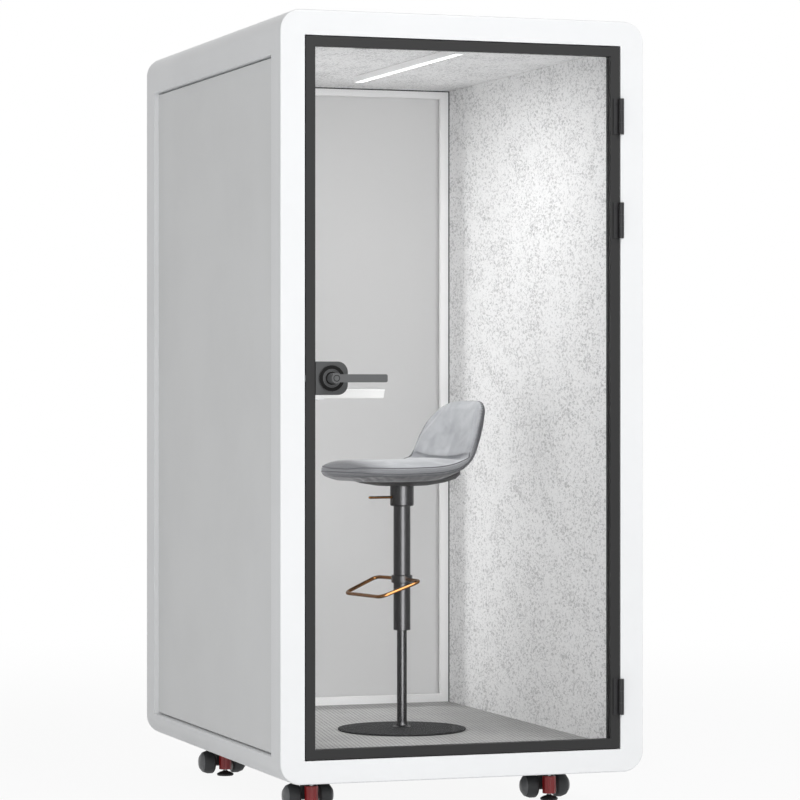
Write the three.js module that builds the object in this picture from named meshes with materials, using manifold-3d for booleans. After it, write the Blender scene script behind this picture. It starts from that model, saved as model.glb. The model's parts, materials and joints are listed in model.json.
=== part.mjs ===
// Acoustic office pod: a sound-proof cabin for one person, with a framed glass door, a wall desk,
// a swivelling bar stool, a ceiling light, a roof fan and four levelling castors.
// Units are millimetres, +Z is up, the door faces -Y, and the origin is on the floor
// below the centre of the bounding box.

import * as THREE from 'three';
import { mergeVertices } from 'three/addons/utils/BufferGeometryUtils.js';
import Module from 'manifold-3d';

const wasm = await Module();
wasm.setup();

// Body
const BODY_WIDTH = 1100;
const BODY_DEPTH = 1470;
const BODY_HEIGHT = 2169;
const GROUND_CLEARANCE = 110;
const CORNER_RADIUS = 60;
const EDGE_ROUND = 5;
const CLEARANCE = 0.3;

// Ring frames at the front and the rear
const FRONT_RING_DEPTH = 88;
const REAR_RING_DEPTH = 95;
const RING_SIDE = 72;
const RING_TOP = 71;
const RING_BOTTOM = 66;
const LIP_WIDTH = 14;
const LIP_DEPTH = 12;
const REAR_LIP_DEPTH = 25;

// Corner rails and side walls
const RAIL_WALL = 32;
const RAIL_SIDE_TOP = 121;
const RAIL_SIDE_BOTTOM = 72;
const RAIL_FLANGE = 110;
const SIDE_RECESS = 15;
const SHADOW_GAP = 5;
const FELT_THICKNESS = 18;
const WALL_THICKNESS = 91;

// Floor and ceiling
const DECK_THICKNESS = 37;
const CARPET_THICKNESS = 8;
const BEAM_WIDTH = 120;
const BEAM_SIDE_GAP = 118;
const CEILING_FELT = 14;
const CEILING_DROP = 82;
const ROOF_SKIN = 12;

// Rear window
const WINDOW_FRAME_SIDE = 30;
const WINDOW_FRAME_TOP = 26;
const WINDOW_FRAME_DEPTH = 45;
const WINDOW_REBATE = 12;
const WINDOW_SET_BACK = 16;
const PANE_THICKNESS = 12;
const BEAD_STEP = 2;

// Door
const DOOR_GAP = 3;
const DOOR_FACE = 28;
const DOOR_DEPTH = 40;
const DOOR_REBATE = 12;
const DOOR_SET_BACK = 12;
const DOOR_PANE = 10;
const SEAL_WIDTH = 11;
const SEAL_THICKNESS = 2.4;

// Hinges
const HINGE_HEIGHT = 103;
const UPPER_HINGE_DROP = 201;
const MIDDLE_HINGE_DROP = 501;
const LOWER_HINGE_RISE = 149;
const KNUCKLE_RADIUS = 8;
const KNUCKLE_AXIS = 9;
const KNUCKLE_GAP = 0.4;
const PIN_RADIUS = 3;
const PIN_PLAY = 0.3;
const LEAF_THICKNESS = 3;
const DOOR_LEAF_WIDTH = 20;
const FRAME_LEAF_WIDTH = 9;

// Handle set
const HANDLE_LEVEL = 1247;
const HANDLE_INSET = 46;
const PLATE_WIDTH = 94;
const PLATE_HEIGHT = 94;
const PLATE_RADIUS = 30;
const PLATE_PROUD = 4;
const INNER_PLATE_THICKNESS = 14;
const ROSE_RADIUS = 37;
const ROSE_GROOVE_OUTER = 25.5;
const ROSE_GROOVE_INNER = 19;
const ROSE_THICKNESS = 4;
const HUB_RADIUS = 14.5;
const LEVER_LENGTH = 150;
const LEVER_HEIGHT = 22.5;
const LEVER_THICKNESS = 11;
const LEVER_REACH = 52;
const INNER_LEVER_REACH = 48;
const SPINDLE_RADIUS = 4.5;
const SPINDLE_PLAY = 0.5;
const BOLT_HEIGHT = 18;
const BOLT_THICKNESS = 6.4;
const BOLT_LENGTH = 37;
const BOLT_NOSE = 1;
const BOLT_BEVEL = 2.6;
const BOLT_PLAY = 0.4;
const BOLT_TRAVEL = 12;
const STRIKE_HEIGHT = 90;
const STRIKE_WIDTH = 34;
const STRIKE_THICKNESS = 1.6;
const STRIKE_HOLE_PLAY = 3;

// Light bar
const LIGHT_OFFSET = 15;
const LIGHT_START = 92;
const LIGHT_LENGTH = 918;
const LIGHT_WIDTH = 28;
const LIGHT_HEIGHT = 19;
const LIGHT_WALL = 2.5;
const DIFFUSER_THICKNESS = 6;

// Roof fan
const FAN_OFFSET = 230;
const FAN_RING_GAP = 4;
const FAN_SIZE = 120;
const FAN_HEIGHT = 38;
const FAN_DUCT_RADIUS = 56;
const FAN_HUB_RADIUS = 21;
const FAN_BLADES = 7;
const FAN_BLADE_GAP = 2;
const FAN_STRUT = 6;
const FAN_SHAFT_RADIUS = 3;
const VENT_COVER_SIZE = 156;
const VENT_COVER_THICKNESS = 4;
const VENT_LIFT = 10;
const VENT_FOOT_RADIUS = 7;

// Wall desk
const DESK_REACH = 308;
const DESK_START = 265;
const DESK_LENGTH = 685;
const DESK_THICKNESS = 26;
const DESK_TOP = 1216;
const DESK_UNDERCUT = 5;
const BRACKET_REACH = 176;
const BRACKET_DROP = 150;
const BRACKET_WALL = 4;
const BRACKET_WIDTH = 40;
const BRACKET_INSET = 190;

// Stool
const STOOL_X = 19;
const STOOL_Y = 607;
const STOOL_HEADING = -170.1;
const STOOL_BASE_RADIUS = 193.5;
const STOOL_BASE_EDGE = 6;
const STOOL_BASE_DOME = 5;
const POST_RADIUS = 15;
const POST_TOP = 455;
const SLEEVE_RADIUS = 25.75;
const SLEEVE_BORE_PLAY = 0.5;
const SLEEVE_BOTTOM = 302;
const COLLAR_RADIUS = 36;
const COLLAR_BOTTOM = 676;
const PAN_BOTTOM = 738;
const GAS_ROD_RADIUS = 9;
const GAS_ROD_PLAY = 0.4;
const GAS_ROD_BOTTOM = 240;
const GAS_ROD_TOP = 712;
const PAN_LENGTH = 368;
const PAN_WIDTH = 300;
const PAN_DEPTH = 46;
const FOOTREST_ROD = 5.5;
const FOOTREST_FRONT = 134;
const FOOTREST_FRONT_HALF = 113;
const FOOTREST_REAR = 13;
const FOOTREST_REAR_HALF = 137;
const FOOTREST_FRONT_LEVEL = 411;
const FOOTREST_REAR_LEVEL = 456;
const CLAMP_RADIUS = 32;
const CLAMP_HEIGHT = 24;
const LEVER_ROD = 4;
const LEVER_LEVEL = 703;
const LEVER_TIP = 114;
const LEVER_SOCKET = 10;
const LEVER_SWING_ROOM = 3;
const LEVER_END_PLAY = 1;

// Upholstered seat: stations along the side profile, from the front edge to the top of the back.
// Each holds forward distance and height of the middle, half width, thickness, crown of the sitting
// face, and how far the edges curl towards the sitter.
const CUSHION_STATIONS = [
  [235, 781, 92, 30, 3, 0],
  [229, 781, 120, 40, 6, 0],
  [212, 780, 146, 44, 9, 0],
  [176, 779, 170, 46, 12, 0],
  [116, 778, 189, 46, 15, 0],
  [40, 778, 199, 46, 16, 1],
  [-36, 779, 200, 46, 16, 4],
  [-98, 785, 197, 44, 13, 12],
  [-140, 799, 192, 40, 6, 22],
  [-170, 827, 187, 36, 4, 29],
  [-191, 866, 182, 34, 4, 32],
  [-207, 905, 173, 33, 4, 31],
  [-219, 938, 155, 32, 4, 26],
  [-229, 966, 126, 29, 4, 18],
  [-236, 986, 86, 24, 3, 10],
  [-239, 996, 46, 17, 2, 4],
];
const CUSHION_RIB = 40;
const CUSHION_SQUARENESS = 0.62;
const CREASE_DEPTH = 13;
const CREASE_STATION = 8;
const SEAM_DEPTH = 2.5;
// Points of a rib, counted from its right side, where the two sewn seams of the side band run
const SEAM_RIBS = [0, 2, 18, 20];

// Castors
const CASTOR_FROM_SIDE = 181;
const CASTOR_FROM_END = 285;
const CASTOR_TRAIL = 36;
const CASTOR_PLATE_RADIUS = 40;
const CASTOR_PLATE = 7;
const CASTOR_NECK_RADIUS = 23;
const YOKE_HALF_WIDTH = 22;
const YOKE_ROUND = 14;
const YOKE_TOP = 92;
const YOKE_UNDERSIDE = 78;
const AXLE_RADIUS = 5;
const AXLE_PLAY = 0.3;
const WHEEL_RADIUS = 36;
const WHEEL_LIFT = 4;
const WHEEL_INNER = 28;
const WHEEL_OUTER = 76;
const WHEEL_DOME = 26;
const WHEEL_CHAMFER = 5;
const FOOT_RADIUS = 26;
const FOOT_HEIGHT = 14;
const STEM_RADIUS = 6;
const STEM_PLAY = 0.4;
const STEM_TOP = 96;
const THUMBWHEEL_RADIUS = 20;
const THUMBWHEEL_BOTTOM = 20;
const THUMBWHEEL_TOP = 71;
const THUMBWHEEL_FLUTES = 12;
const THUMBWHEEL_FLUTE_DEPTH = 1.4;

// Levels and planes that follow from the sizes above
const HALF_WIDTH = BODY_WIDTH / 2;
const BODY_BOTTOM = GROUND_CLEARANCE;
const BODY_TOP = GROUND_CLEARANCE + BODY_HEIGHT;
const FRONT_Y = -(BODY_DEPTH - LEVER_REACH) / 2;
const REAR_RING_START = BODY_DEPTH - REAR_RING_DEPTH;
const OPENING_HALF = HALF_WIDTH - RING_SIDE;
const OPENING_BOTTOM = BODY_BOTTOM + RING_BOTTOM;
const OPENING_TOP = BODY_TOP - RING_TOP;
const WALL_INNER = HALF_WIDTH - WALL_THICKNESS;
const WALL_BACK = WALL_INNER + FELT_THICKNESS;
const DECK_BOTTOM = BODY_BOTTOM + RAIL_WALL + CLEARANCE;
const DECK_TOP = DECK_BOTTOM + DECK_THICKNESS;
const CARPET_BOTTOM = DECK_TOP + CLEARANCE;
const CARPET_TOP = CARPET_BOTTOM + CARPET_THICKNESS;
const CEILING = BODY_TOP - CEILING_DROP;
const CEILING_BACK = CEILING + CEILING_FELT;
const SPAN_START = FRONT_RING_DEPTH + CLEARANCE;
const SPAN_END = REAR_RING_START - CLEARANCE;
const LIP_START = DOOR_DEPTH + SEAL_THICKNESS + 2 * CLEARANCE;
const LIP_END = LIP_START + LIP_DEPTH;
const LINING_START = LIP_END + CLEARANCE;
const LINING_END = BODY_DEPTH - REAR_LIP_DEPTH - WINDOW_FRAME_DEPTH;
const DOOR_HALF = OPENING_HALF - DOOR_GAP;
const DOOR_BOTTOM = OPENING_BOTTOM + DOOR_GAP;
const DOOR_TOP = OPENING_TOP - DOOR_GAP;
const HINGE_X = (DOOR_HALF + OPENING_HALF) / 2;

// Paints and materials
const finish = (color, roughness, metalness = 0) => ({ color, roughness, metalness });
const WHITE = finish(0xf2f3f3, 0.45);
const WALL_GREY = finish(0xd9dadb, 0.5);
const FELT = finish(0xc9c9c7, 0.95);
const CARPET = finish(0x9b9c9c, 0.98);
const BLACK = finish(0x232426, 0.45, 0.4);
const RUBBER = finish(0x17181a, 0.9);
const GLASS = finish(0xdfe8ea, 0.05);
const FROSTED = finish(0xc8cac9, 0.4);
const LAMP = finish(0xffffff, 0.3);
const STEEL = finish(0xb4b6b8, 0.35, 0.9);
const DARK_STEEL = finish(0x36383b, 0.45, 0.6);
const BRONZE = finish(0x8a5f33, 0.3, 0.9);
const VELVET = finish(0xaeb1b4, 0.85);
const RED = finish(0xa3161a, 0.4);
const TYRE = finish(0x6b6d70, 0.6);

// Closed, outward-facing triangles from any geometry
function closedMesh(geometry) {
  const bare = geometry.clone();
  for (const attribute of ['normal', 'uv', 'uv1', 'color']) {
    bare.deleteAttribute(attribute);
  }
  const merged = mergeVertices(bare, 1e-4);
  const position = merged.getAttribute('position');
  const source = merged.getIndex().array;
  const triangles = [];
  let volume = 0;
  const corner = [new THREE.Vector3(), new THREE.Vector3(), new THREE.Vector3()];
  for (let i = 0; i < source.length; i += 3) {
    const [a, b, c] = [source[i], source[i + 1], source[i + 2]];
    if (a === b || b === c || c === a) {
      continue;
    }
    triangles.push(a, b, c);
    corner[0].fromBufferAttribute(position, a);
    corner[1].fromBufferAttribute(position, b);
    corner[2].fromBufferAttribute(position, c);
    volume += corner[0].dot(corner[1].cross(corner[2]));
  }
  if (volume < 0) {
    for (let i = 0; i < triangles.length; i += 3) {
      [triangles[i + 1], triangles[i + 2]] = [triangles[i + 2], triangles[i + 1]];
    }
  }
  return { vertices: Float32Array.from(position.array), triangles: Uint32Array.from(triangles) };
}

function solid(geometry) {
  const { vertices, triangles } = closedMesh(geometry);
  const mesh = new wasm.Mesh({ numProp: 3, vertProperties: vertices, triVerts: triangles });
  return new wasm.Manifold(mesh);
}

function geometryOf(manifold) {
  const mesh = manifold.getMesh();
  const geometry = new THREE.BufferGeometry();
  geometry.setAttribute('position', new THREE.BufferAttribute(Float32Array.from(mesh.vertProperties), 3));
  geometry.setIndex(new THREE.BufferAttribute(Uint32Array.from(mesh.triVerts), 1));
  return geometry;
}

function join(first, ...others) {
  let body = solid(first);
  for (const other of others) {
    body = body.add(solid(other));
  }
  return geometryOf(body);
}

function cut(first, ...others) {
  let body = solid(first);
  for (const other of others) {
    body = body.subtract(solid(other));
  }
  return geometryOf(body);
}

// Shapes in the part's own directions
function block(x0, x1, y0, y1, z0, z1) {
  const geometry = new THREE.BoxGeometry(x1 - x0, y1 - y0, z1 - z0);
  return geometry.translate((x0 + x1) / 2, (y0 + y1) / 2, (z0 + z1) / 2);
}

function prismAlongY(shape, y0, y1, options = {}) {
  const settings = { depth: y1 - y0, bevelEnabled: false, curveSegments: 8, ...options };
  return new THREE.ExtrudeGeometry(shape, settings).rotateX(Math.PI / 2).translate(0, y1, 0);
}

function prismAlongX(shape, x0, x1) {
  const settings = { depth: x1 - x0, bevelEnabled: false, curveSegments: 8 };
  const geometry = new THREE.ExtrudeGeometry(shape, settings);
  return geometry.rotateX(Math.PI / 2).rotateZ(Math.PI / 2).translate(x0, 0, 0);
}

function prismAlongZ(shape, z0, z1) {
  const settings = { depth: z1 - z0, bevelEnabled: false, curveSegments: 5 };
  return new THREE.ExtrudeGeometry(shape, settings).translate(0, 0, z0);
}

function polygon(points) {
  return new THREE.Shape(points.map(([x, y]) => new THREE.Vector2(x, y)));
}

function roundedRectangle(x0, x1, y0, y1, radii) {
  const [lowerLeft, lowerRight, upperRight, upperLeft] = radii;
  const shape = new THREE.Shape();
  shape.moveTo(x0 + lowerLeft, y0);
  shape.lineTo(x1 - lowerRight, y0);
  shape.absarc(x1 - lowerRight, y0 + lowerRight, lowerRight, -Math.PI / 2, 0, false);
  shape.lineTo(x1, y1 - upperRight);
  shape.absarc(x1 - upperRight, y1 - upperRight, upperRight, 0, Math.PI / 2, false);
  shape.lineTo(x0 + upperLeft, y1);
  shape.absarc(x0 + upperLeft, y1 - upperLeft, upperLeft, Math.PI / 2, Math.PI, false);
  shape.lineTo(x0, y0 + lowerLeft);
  shape.absarc(x0 + lowerLeft, y0 + lowerLeft, lowerLeft, Math.PI, Math.PI * 1.5, false);
  return shape;
}

function turned(profile, sides = 32) {
  const points = profile.map(([radius, height]) => new THREE.Vector2(radius, height));
  return new THREE.LatheGeometry(points, sides).rotateX(Math.PI / 2);
}

function rodAlongZ(radius, z0, z1, sides = 24) {
  return turned([[0, z0], [radius, z0], [radius, z1], [0, z1]], sides);
}

function rodAlongY(radius, y0, y1, sides = 24) {
  return rodAlongZ(radius, -y1, -y0, sides).rotateX(Math.PI / 2);
}

function rodAlongX(radius, x0, x1, sides = 20) {
  return rodAlongZ(radius, x0, x1, sides).rotateY(Math.PI / 2);
}

function tubeAlongZ(outer, inner, z0, z1, sides = 32) {
  return turned([[inner, z0], [outer, z0], [outer, z1], [inner, z1], [inner, z0]], sides);
}

function ringAlongY(outer, inner, y0, y1) {
  return tubeAlongZ(outer, inner, -y1, -y0, 32).rotateX(Math.PI / 2);
}

function mirroredX(geometry) {
  const copy = geometry.clone();
  copy.scale(-1, 1, 1);
  const { vertices, triangles } = closedMesh(copy);
  const mirrored = new THREE.BufferGeometry();
  mirrored.setAttribute('position', new THREE.BufferAttribute(vertices, 3));
  mirrored.setIndex(new THREE.BufferAttribute(triangles, 1));
  return mirrored;
}

function frame(halfWidth, z0, z1, side, bottom, top, y0, y1) {
  const outer = block(-halfWidth, halfWidth, y0, y1, z0, z1);
  const inner = block(-halfWidth + side, halfWidth - side, y0 - 1, y1 + 1, z0 + bottom, z1 - top);
  return cut(outer, inner);
}

function piece(parent, name, geometry, look) {
  const { vertices, triangles } = closedMesh(geometry);
  const closed = new THREE.BufferGeometry();
  closed.setAttribute('position', new THREE.BufferAttribute(vertices, 3));
  closed.setIndex(new THREE.BufferAttribute(triangles, 1));
  closed.computeVertexNormals();
  const mesh = new THREE.Mesh(closed, new THREE.MeshStandardMaterial(look));
  mesh.name = name;
  parent.add(mesh);
  return mesh;
}

const pod = new THREE.Group();
pod.position.y = FRONT_Y;

// Body shell

const bodyOutline = roundedRectangle(
  -HALF_WIDTH + EDGE_ROUND,
  HALF_WIDTH - EDGE_ROUND,
  BODY_BOTTOM + EDGE_ROUND,
  BODY_TOP - EDGE_ROUND,
  Array(4).fill(CORNER_RADIUS - EDGE_ROUND),
);

// A slab of the body's outline whose edge is rounded over on its y0 side only
function roundedSlab(y0, y1) {
  const rounding = {
    bevelEnabled: true,
    bevelThickness: EDGE_ROUND,
    bevelSize: EDGE_ROUND,
    bevelSegments: 2,
  };
  const long = prismAlongY(bodyOutline, y0 + EDGE_ROUND, y1 + EDGE_ROUND, rounding);
  const waste = block(-BODY_WIDTH, BODY_WIDTH, y1, y1 + 3 * EDGE_ROUND, 0, 2 * BODY_TOP);
  return cut(long, waste);
}

function opening(inset, y0, y1) {
  return block(
    -OPENING_HALF + inset,
    OPENING_HALF - inset,
    y0,
    y1,
    OPENING_BOTTOM + inset,
    OPENING_TOP - inset,
  );
}

function liningPassage(y0, y1) {
  const half = WALL_BACK + CLEARANCE;
  return block(-half, half, y0, y1, DECK_TOP, CEILING_BACK + CLEARANCE);
}

const strikeRecess = block(
  -OPENING_HALF - STRIKE_THICKNESS - CLEARANCE,
  -OPENING_HALF + 1,
  (DOOR_DEPTH - STRIKE_WIDTH) / 2 - CLEARANCE,
  (DOOR_DEPTH + STRIKE_WIDTH) / 2 + CLEARANCE,
  HANDLE_LEVEL - STRIKE_HEIGHT / 2 - CLEARANCE,
  HANDLE_LEVEL + STRIKE_HEIGHT / 2 + CLEARANCE,
);

const frontRing = cut(
  roundedSlab(0, FRONT_RING_DEPTH),
  opening(LIP_WIDTH, -1, FRONT_RING_DEPTH + 1),
  opening(0, -1, LIP_START),
  liningPassage(LIP_END, FRONT_RING_DEPTH + 1),
  strikeRecess,
);
piece(pod, 'front_ring', frontRing, WHITE);

const rearLipStart = BODY_DEPTH - REAR_LIP_DEPTH;
const rearSlab = roundedSlab(0, REAR_RING_DEPTH).rotateZ(Math.PI).translate(0, BODY_DEPTH, 0);
const rearRing = cut(
  rearSlab,
  opening(LIP_WIDTH, REAR_RING_START - 1, BODY_DEPTH + 1),
  liningPassage(REAR_RING_START - 1, rearLipStart),
);
piece(pod, 'rear_ring', rearRing, WHITE);

// Corner rails: an angle section whose outer corner follows the rings
function railSection(sideLeg) {
  const shape = new THREE.Shape();
  shape.moveTo(0, sideLeg);
  shape.lineTo(0, CORNER_RADIUS);
  shape.absarc(CORNER_RADIUS, CORNER_RADIUS, CORNER_RADIUS, Math.PI, Math.PI * 1.5, false);
  shape.lineTo(RAIL_FLANGE, 0);
  shape.lineTo(RAIL_FLANGE, RAIL_WALL);
  shape.lineTo(RAIL_WALL, RAIL_WALL);
  shape.lineTo(RAIL_WALL, sideLeg);
  shape.closePath();
  return shape;
}

const bottomRail = prismAlongY(railSection(RAIL_SIDE_BOTTOM), SPAN_START, SPAN_END);
bottomRail.translate(-HALF_WIDTH, 0, BODY_BOTTOM);
piece(pod, 'bottom_left_rail', bottomRail, WHITE);
piece(pod, 'bottom_right_rail', mirroredX(bottomRail), WHITE);

const topRail = prismAlongY(railSection(RAIL_SIDE_TOP), SPAN_START, SPAN_END);
topRail.scale(1, 1, -1).translate(-HALF_WIDTH, 0, BODY_TOP);
piece(pod, 'top_left_rail', topRail, WHITE);
piece(pod, 'top_right_rail', mirroredX(topRail), WHITE);

// Side walls: a sandwich whose core runs behind the rails and whose skin sits back between them
const coreOuter = RAIL_WALL + CLEARANCE;
const coreInner = WALL_THICKNESS - FELT_THICKNESS - CLEARANCE;
const coreBottom = BODY_BOTTOM + RAIL_WALL + CLEARANCE;
const coreTop = BODY_TOP - RAIL_WALL - CLEARANCE;
const skinBottom = BODY_BOTTOM + RAIL_SIDE_BOTTOM + SHADOW_GAP;
const skinTop = BODY_TOP - RAIL_SIDE_TOP - SHADOW_GAP;
const wallSection = polygon([
  [SIDE_RECESS, skinBottom],
  [coreOuter, skinBottom],
  [coreOuter, coreBottom],
  [coreInner, coreBottom],
  [coreInner, coreTop],
  [coreOuter, coreTop],
  [coreOuter, skinTop],
  [SIDE_RECESS, skinTop],
]);
const wallPanel = prismAlongY(wallSection, SPAN_START, SPAN_END).translate(-HALF_WIDTH, 0, 0);
piece(pod, 'left_wall_panel', wallPanel, WALL_GREY);
piece(pod, 'right_wall_panel', mirroredX(wallPanel), WALL_GREY);

const felt = block(
  -WALL_BACK,
  -WALL_INNER,
  LINING_START,
  LINING_END,
  CARPET_BOTTOM,
  CEILING - CLEARANCE,
);
piece(pod, 'left_felt', felt, FELT);
piece(pod, 'right_felt', mirroredX(felt), FELT);

// Base deck on the lower rails, with a cross beam over each pair of castors
const deckHalf = HALF_WIDTH - coreInner - CLEARANCE;
const beamHalf = HALF_WIDTH - BEAM_SIDE_GAP;
const castorRows = [CASTOR_FROM_END, BODY_DEPTH - CASTOR_FROM_END];
const beams = castorRows.map((y) => block(
  -beamHalf,
  beamHalf,
  y - BEAM_WIDTH / 2,
  y + BEAM_WIDTH / 2,
  BODY_BOTTOM,
  DECK_BOTTOM + 1,
));
const deck = join(block(-deckHalf, deckHalf, SPAN_START, SPAN_END, DECK_BOTTOM, DECK_TOP), ...beams);
piece(pod, 'base_deck', deck, DARK_STEEL);

const carpetHalf = WALL_INNER - CLEARANCE;
const carpet = block(-carpetHalf, carpetHalf, LINING_START, LINING_END, CARPET_BOTTOM, CARPET_TOP);
piece(pod, 'carpet', carpet, CARPET);

// Roof: a sandwich like the side walls, cut through for the fan
const fanCentre = [-FAN_OFFSET, FRONT_RING_DEPTH + FAN_RING_GAP + VENT_COVER_SIZE / 2];
const fanPocketHalf = FAN_SIZE / 2 + CLEARANCE;
const fanPocket = block(
  fanCentre[0] - fanPocketHalf,
  fanCentre[0] + fanPocketHalf,
  fanCentre[1] - fanPocketHalf,
  fanCentre[1] + fanPocketHalf,
  CEILING_BACK - 1,
  BODY_TOP + 1,
);
const roofCoreBottom = CEILING_BACK + CLEARANCE;
const roofTop = coreTop + ROOF_SKIN;
const roofSkinHalf = HALF_WIDTH - RAIL_FLANGE - SHADOW_GAP;
const roofSection = polygon([
  [-deckHalf, roofCoreBottom],
  [deckHalf, roofCoreBottom],
  [deckHalf, coreTop],
  [roofSkinHalf, coreTop],
  [roofSkinHalf, roofTop],
  [-roofSkinHalf, roofTop],
  [-roofSkinHalf, coreTop],
  [-deckHalf, coreTop],
]);
const roof = cut(prismAlongY(roofSection, SPAN_START, SPAN_END), fanPocket);
piece(pod, 'roof_panel', roof, WALL_GREY);

const ceilingHole = rodAlongZ(FAN_DUCT_RADIUS, CEILING - 1, CEILING_BACK + 1, 32);
ceilingHole.translate(fanCentre[0], fanCentre[1], 0);
const ceiling = cut(
  block(-WALL_BACK, WALL_BACK, LINING_START, LINING_END, CEILING, CEILING_BACK),
  ceilingHole,
);
piece(pod, 'ceiling_felt', ceiling, FELT);

// Light bar: a channel open downwards, closed by an opal strip
const lightTop = CEILING - CLEARANCE;
const lightBottom = CEILING - LIGHT_HEIGHT;
const lightHalf = LIGHT_WIDTH / 2;
const lightEnd = LIGHT_START + LIGHT_LENGTH;
const lightBody = cut(
  block(LIGHT_OFFSET - lightHalf, LIGHT_OFFSET + lightHalf, LIGHT_START, lightEnd, lightBottom, lightTop),
  block(
    LIGHT_OFFSET - lightHalf + LIGHT_WALL,
    LIGHT_OFFSET + lightHalf - LIGHT_WALL,
    LIGHT_START + LIGHT_WALL,
    lightEnd - LIGHT_WALL,
    lightBottom - 1,
    lightBottom + DIFFUSER_THICKNESS + CLEARANCE,
  ),
);
piece(pod, 'light_bar', lightBody, STEEL);
const diffuserInset = LIGHT_WALL + CLEARANCE;
const diffuser = block(
  LIGHT_OFFSET - lightHalf + diffuserInset,
  LIGHT_OFFSET + lightHalf - diffuserInset,
  LIGHT_START + diffuserInset,
  lightEnd - diffuserInset,
  lightBottom,
  lightBottom + DIFFUSER_THICKNESS,
);
piece(pod, 'light_diffuser', diffuser, LAMP);

// Roof fan: square housing with a round duct, a guard below and a motor boss on struts above
const fan = new THREE.Group();
fan.position.set(fanCentre[0], fanCentre[1], CEILING_BACK + CLEARANCE);
pod.add(fan);
const fanHalf = FAN_SIZE / 2;
const fanStruts = [0, 1].map((turn) => {
  const strut = block(
    -fanHalf + 2,
    fanHalf - 2,
    -FAN_STRUT / 2,
    FAN_STRUT / 2,
    FAN_HEIGHT - FAN_STRUT,
    FAN_HEIGHT,
  );
  return strut.rotateZ(Math.PI / 4 + turn * Math.PI / 2);
});
const guardRings = [0.45, 0.78].map((share) => {
  const middle = FAN_DUCT_RADIUS * share;
  return tubeAlongZ(middle + 1.5, middle - 1.5, 0, 3, 20);
});
const guardBars = [0, 1].map((turn) => {
  const bar = block(-fanHalf + 2, fanHalf - 2, -1.5, 1.5, 0, 3);
  return bar.rotateZ(Math.PI / 4 + turn * Math.PI / 2);
});
const fanMotor = rodAlongZ(FAN_HUB_RADIUS, FAN_HEIGHT - FAN_STRUT - 6, FAN_HEIGHT, 20);
const fanFrame = cut(
  block(-fanHalf, fanHalf, -fanHalf, fanHalf, 0, FAN_HEIGHT),
  rodAlongZ(FAN_DUCT_RADIUS, -1, FAN_HEIGHT + 1, 32),
);
const motorBore = rodAlongZ(
  FAN_SHAFT_RADIUS + CLEARANCE,
  0,
  FAN_HEIGHT - 3,
  12,
);
const fanHousing = cut(join(fanFrame, ...fanStruts, ...guardBars, ...guardRings, fanMotor), motorBore);
piece(fan, 'fan_housing', fanHousing, BLACK);

const impellerTop = FAN_HEIGHT - FAN_STRUT - 6 - CLEARANCE;
const impellerBottom = 3 + 3;
const bladeLength = FAN_DUCT_RADIUS - FAN_BLADE_GAP - FAN_HUB_RADIUS + 2;
const blades = Array.from({ length: FAN_BLADES }, (_, index) => {
  const blade = new THREE.BoxGeometry(bladeLength, 24, 1.8, 3, 1, 1);
  const points = blade.getAttribute('position');
  for (let i = 0; i < points.count; i += 1) {
    const pitch = THREE.MathUtils.mapLinear(points.getX(i), -bladeLength / 2, bladeLength / 2, 0.75, 0.45);
    const [y, z] = [points.getY(i), points.getZ(i)];
    points.setY(i, y * Math.cos(pitch) - z * Math.sin(pitch));
    points.setZ(i, y * Math.sin(pitch) + z * Math.cos(pitch));
  }
  blade.translate(FAN_HUB_RADIUS - 2 + bladeLength / 2, 0, (impellerTop + impellerBottom) / 2);
  return blade.rotateZ(index * Math.PI * 2 / FAN_BLADES);
});
const impellerHub = turned([
  [0, impellerBottom],
  [FAN_HUB_RADIUS - 4, impellerBottom],
  [FAN_HUB_RADIUS, impellerBottom + 4],
  [FAN_HUB_RADIUS, impellerTop],
  [FAN_SHAFT_RADIUS, impellerTop],
  [FAN_SHAFT_RADIUS, FAN_HEIGHT - 3 - 3],
  [0, FAN_HEIGHT - 3 - 3],
], 20);
piece(fan, 'fan_impeller', join(impellerHub, ...blades), BLACK);

// Vent cover over the fan, standing on four short feet on the roof skin
const coverHalf = VENT_COVER_SIZE / 2;
const coverFoot = coverHalf - VENT_FOOT_RADIUS - 3;
const coverBase = roofTop + CLEARANCE;
const coverPlate = prismAlongZ(
  roundedRectangle(-coverHalf, coverHalf, -coverHalf, coverHalf, Array(4).fill(12)),
  coverBase + VENT_LIFT,
  coverBase + VENT_LIFT + VENT_COVER_THICKNESS,
);
const coverFeet = [[-1, -1], [1, -1], [1, 1], [-1, 1]].map(([sx, sy]) => {
  const foot = rodAlongZ(VENT_FOOT_RADIUS, coverBase, coverBase + VENT_LIFT + 1, 12);
  return foot.translate(sx * coverFoot, sy * coverFoot, 0);
});
const cover = join(coverPlate, ...coverFeet).translate(fanCentre[0], fanCentre[1], 0);
piece(pod, 'roof_vent_cover', cover, WHITE);

// Rear window: a frame in the rear ring, a pane in its rebate and a bead behind the pane
const windowHalf = WALL_BACK;
const windowBottom = DECK_TOP + CLEARANCE;
const windowTop = CEILING_BACK;
const windowStart = LINING_END + CLEARANCE;
const windowEnd = rearLipStart - CLEARANCE;
const sightHalf = WALL_INNER - WINDOW_FRAME_SIDE;
const sightBottom = CARPET_TOP + WINDOW_FRAME_TOP;
const sightTop = CEILING - WINDOW_FRAME_TOP;
const rearPaneStart = windowStart + WINDOW_SET_BACK;
const windowFrame = cut(
  block(-windowHalf, windowHalf, windowStart, windowEnd, windowBottom, windowTop),
  block(-sightHalf, sightHalf, windowStart - 1, windowEnd + 1, sightBottom, sightTop),
  block(
    -sightHalf - WINDOW_REBATE,
    sightHalf + WINDOW_REBATE,
    rearPaneStart - CLEARANCE,
    windowEnd + 1,
    sightBottom - WINDOW_REBATE,
    sightTop + WINDOW_REBATE,
  ),
);
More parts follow.
